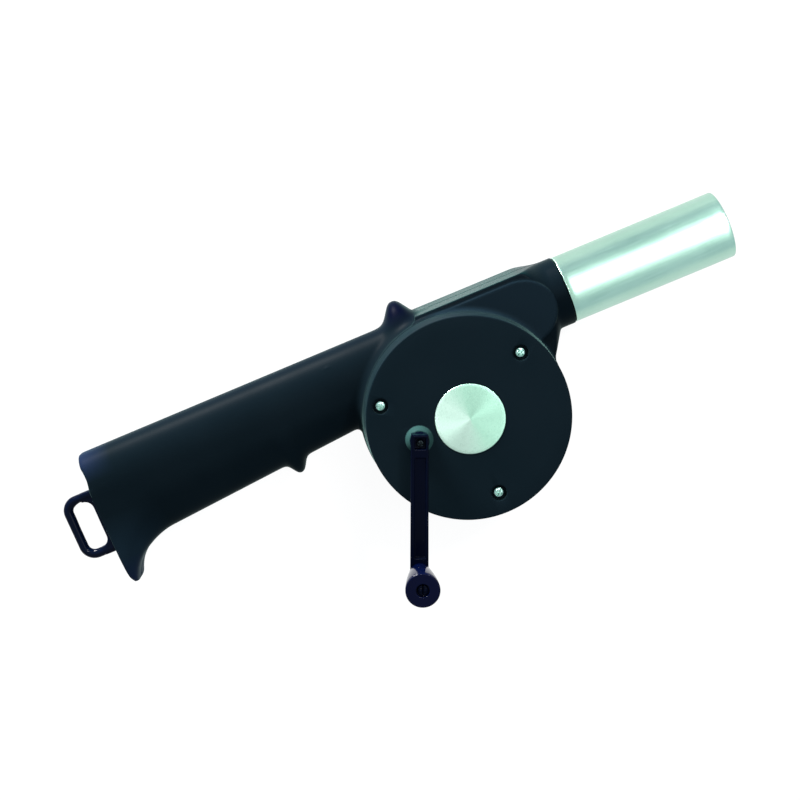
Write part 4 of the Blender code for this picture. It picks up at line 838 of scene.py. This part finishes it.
# crank arm and knob
arm = {
    "length": 55.0, "angle": -112.5, "low": 54.2, "high": 61.4, "hubHalf": 3.7, "knobHalf": 3.88, "overhang": 3.6,
    "lean": 0.05, "shift": 0.28, "edge": 0.25, "hubRadius": 4.1, "hubLow": 53.6, "pocketHalf": 2.3, "pocketZ": 59.2,
    "channel": 1.0, "channelStart": 6.1, "channelEnd": 48.4, "squareHalf": 2.1, "squareTop": 58.2, "screwHole": 1.275,
    "postRadius": 2.0, "postLow": 59.4, "postBelowRim": 0.55, "prongRadius": 2.5, "prongLow": 85.0,
    "slit": 0.35, "slitLow": 78.1, "tip": 0.95, "tipSide": 1.0, "tipBelow": 0.45,
}
knob = {
    "low": 61.7, "high": 86.9, "front": 7.05, "base": 4.6, "bore": 2.3, "recess": 2.7, "recessDepth": 2.2,
    "recessEdge": 0.35, "rim": 0.45, "straight": 1.2, "flarePower": 1.5, "grooveDepth": 0.4, "grooveBelow": 1.5,
}


def makeArm():
    # bar with a round far end, a hub below, a hollowed top, and the post that the knob turns on; then turned and
    # moved to the crank's axis
    a = arm
    xs, ys = levels((-5.2, 51.0, 0.3), (51.0, 60.6, 0.24)), levels((-5.2, 5.2, 0.2))
    zs = levels((53.0, 62.0, 0.3), (62.0, 84.4, 0.8), (84.4, 87.4, 0.2))
    x, y, z = xs[:, None, None], ys[None, :, None], zs[None, None, :]
    half = a["hubHalf"] + (a["knobHalf"] - a["hubHalf"]) * np.clip(x / a["length"], 0, 1)
    half = half - a["lean"] * (a["high"] - z)
    beyond = np.maximum(x - a["length"], 0)
    plan = np.maximum(np.hypot(beyond, y + a["shift"]) - half, -a["overhang"] - x)
    body = roundCut(plan + 0 * z, np.maximum(a["low"] - z, z - a["high"]) + 0 * plan, a["edge"])
    body = roundUnion(body, post(x, y, z, (0, 0), a["hubRadius"], a["hubLow"], 56.0), 0.4)
    inner, square = a["pocketHalf"], a["squareHalf"]
    channelLow = (a["channelStart"], -inner, a["high"] - a["channel"])
    channel = boxField(x, y, z, channelLow, (a["channelEnd"], inner, 70.0), 0.3)
    pocket = boxField(x, y, z, (-inner, -inner, a["pocketZ"]), (inner, inner, 70.0), 0.3)
    body = roundCut(body, -np.minimum(channel, pocket), 0.2)
    socket = boxField(x, y, z, (-square, -square, 50.0), (square, square, a["squareTop"]))
    body = np.maximum(body, -np.minimum(socket, post(x, y, z, (0, 0), a["screwHole"], 50.0, a["high"])))
    top = knob["high"] - a["postBelowRim"]
    pin = post(x, y, z, (a["length"], 0), a["postRadius"], a["postLow"], top)
    taper = np.clip((z - a["prongLow"]) / (top - a["prongLow"]), 0, 1)
    coneRadius = a["prongRadius"] - (a["prongRadius"] - a["postRadius"]) * taper
    prongs = np.maximum(np.hypot(x - a["length"], y) - coneRadius, np.maximum(a["prongLow"] - z, z - top))
    slit = boxField(x, y, z, (a["length"] - 3, -a["slit"] / 2, a["slitLow"]), (a["length"] + 3, a["slit"] / 2, 90.0))
    pin = roundCut(np.minimum(pin, prongs), -slit, 0.12)
    for side in (-a["tipSide"], a["tipSide"]):
        away = np.sqrt((x - a["length"]) ** 2 + (y - side) ** 2 + (z - (top - a["tipBelow"])) ** 2) - a["tip"]
        pin = roundUnion(pin, away, 0.15)
    verts, quads = surfaceNet(np.minimum(body, pin).astype(np.float32), xs, ys, zs)
    t = math.radians(a["angle"])
    place = np.stack([crankPlace[0] + verts[:, 0] * math.cos(t) - verts[:, 1] * math.sin(t),
                      crankPlace[1] + verts[:, 0] * math.sin(t) + verts[:, 1] * math.cos(t), verts[:, 2]], 1)
    return makeMesh("crankArm", place, quads)


def makeKnob():
    # flared profile with a rounded front rim, a fine groove behind it, a recess in front and a bore
    k = knob
    top, edge = k["high"], k["rim"]
    share = np.concatenate([np.linspace(0, 0.16, 30), np.linspace(0.16, 1, 34)[1:]])
    flareRadius = k["front"] + (k["base"] - k["front"]) * share ** k["flarePower"]
    flareZ = top - edge - (top - k["low"] - k["straight"]) * share
    flareRadius = flareRadius - k["grooveDepth"] * hump(flareZ, top - k["grooveBelow"], 0.32, 2.0)
    rim = corner((k["front"] - edge, top - edge), edge, 90, 8, 7)
    bevel = k["recessEdge"]
    recess = [(k["recess"], top - k["recessDepth"]), (k["recess"], top - bevel)]
    recess += corner((k["recess"] + bevel, top - bevel), bevel, 170, 95, 5)
    profile = recess + [(r, top) for r in np.linspace(k["recess"] + 0.5, k["front"] - edge - 0.2, 6)] + rim
    profile += list(zip(flareRadius, flareZ)) + corner((k["base"] - 0.4, k["low"] + 0.4), 0.4, -10, -90, 4)
    profile += [(k["bore"], k["low"]), (k["bore"], top - k["recessDepth"])]
    t = math.radians(arm["angle"])
    place = (crankPlace[0] + arm["length"] * math.cos(t), crankPlace[1] + arm["length"] * math.sin(t))
    return turnedPiece("crankKnob", profile, 128, place, closed=True)


print("crank")
finishPiece(makeArm(), "crank", "crank_arm", glossPlastic)
finishPiece(makeKnob(), "knob", "crank_knob", knobPlastic)

# inner pieces keep their own solids
innerFinishes = {
    "drive_gear": nylon, "idler_gear": nylon, "fan_pinion": nylon, "impeller": fanPlastic, "fan_shaft": pinSteel,
    "idler_axle": pinSteel, "rear_bush": bronze, "front_bush": bronze,
}
for name, material in innerFinishes.items():
    nodes[name].data.materials.clear()
    nodes[name].data.materials.append(material)

# camera, floor and light
view = {"place": (-9.512, 95.598, 595.596), "looksAt": (-25.105, 11.480, 0.0), "up": (0.38215, 0.91352, -0.13941),
        "lens": 59.25}
studio = {
    "floorGlow": 0.88, "floorColour": 0.12, "world": 0.9, "overhead": (0.96, 1.0, 0.98), "low": (0.68, 0.78, 0.88),
    "reach": 4000, "floorZ": -0.2,
}
# place, target, size, power in watts and the way that the second side of the size points
lamps = {
    "topLight": ((-180, 920, 125), (-30, 20, 30), (320, 200), 46.0, (0, 0, 1)),
    "tubeBox": ((250, 117, 780), (110, 31.5, 18), (280, 760), 2.0, (0, 1, 0)),
    "sideLight": ((330, 190, 650), (-20, 10, 50), (70, 70), 1.5, (0, 1, 0)),
    "flash": ((-9, 120, 760), (-20, 10, 18), (40, 40), 0.9, (0, 1, 0)),
}


def aim(item, place, target, up):
    # local -Z looks from the place at the target
    place, target = Vector(place) * mm, Vector(target) * mm
    back = (place - target).normalized()
    right = Vector(up).cross(back).normalized()
    item.matrix_world = Matrix.Translation(place) @ Matrix((right, back.cross(right), back)).transposed().to_4x4()


camera = bpy.data.objects.new("camera", bpy.data.cameras.new("camera"))
bpy.context.scene.collection.objects.link(camera)
camera.data.lens, camera.data.sensor_width = view["lens"], 36
camera.data.clip_start, camera.data.clip_end = 0.01, 20
aim(camera, view["place"], view["looksAt"], view["up"])
bpy.context.scene.camera = camera

far = studio["reach"]
corners = [(x, y, studio["floorZ"]) for x, y in ((-far, -far), (far, -far), (far, far), (-far, far))]
floor = makeMesh("floor", corners, [(0, 1, 2, 3)])
floorPaint, floorTree, floorShader = newFinish("floorPaint", 0.7)
setInputs(floorTree, floorShader, {
    "Base Color": (*[studio["floorColour"]] * 3, 1), "Specular IOR Level": 0.0, "Emission Color": (1, 1, 1, 1),
    "Emission Strength": studio["floorGlow"]})
floor.data.materials.append(floorPaint)


def softLight(name, place, target, size, power, up):
    data = bpy.data.lights.new(name, "AREA")
    data.shape, data.size, data.size_y, data.energy = "RECTANGLE", size[0] * mm, size[1] * mm, power
    lamp = bpy.data.objects.new(name, data)
    bpy.context.scene.collection.objects.link(lamp)
    aim(lamp, place, target, up)


for name, given in lamps.items():
    softLight(name, *given)

# surround that is brighter overhead than towards the horizon
world = bpy.data.worlds.new("studio")
bpy.context.scene.world = world
world.use_nodes = True
skyTree = world.node_tree
skyward = newNode(skyTree, "SeparateXYZ", Vector=newNode(skyTree, "TexCoord").outputs["Generated"]).outputs["Z"]
skyColour = blendColour(skyTree, remap(skyTree, skyward, 0.55, 0.95), studio["low"], studio["overhead"])
setInputs(skyTree, skyTree.nodes["Background"], {"Color": skyColour, "Strength": studio["world"]})
bpy.context.scene.view_settings.view_transform = "Standard"
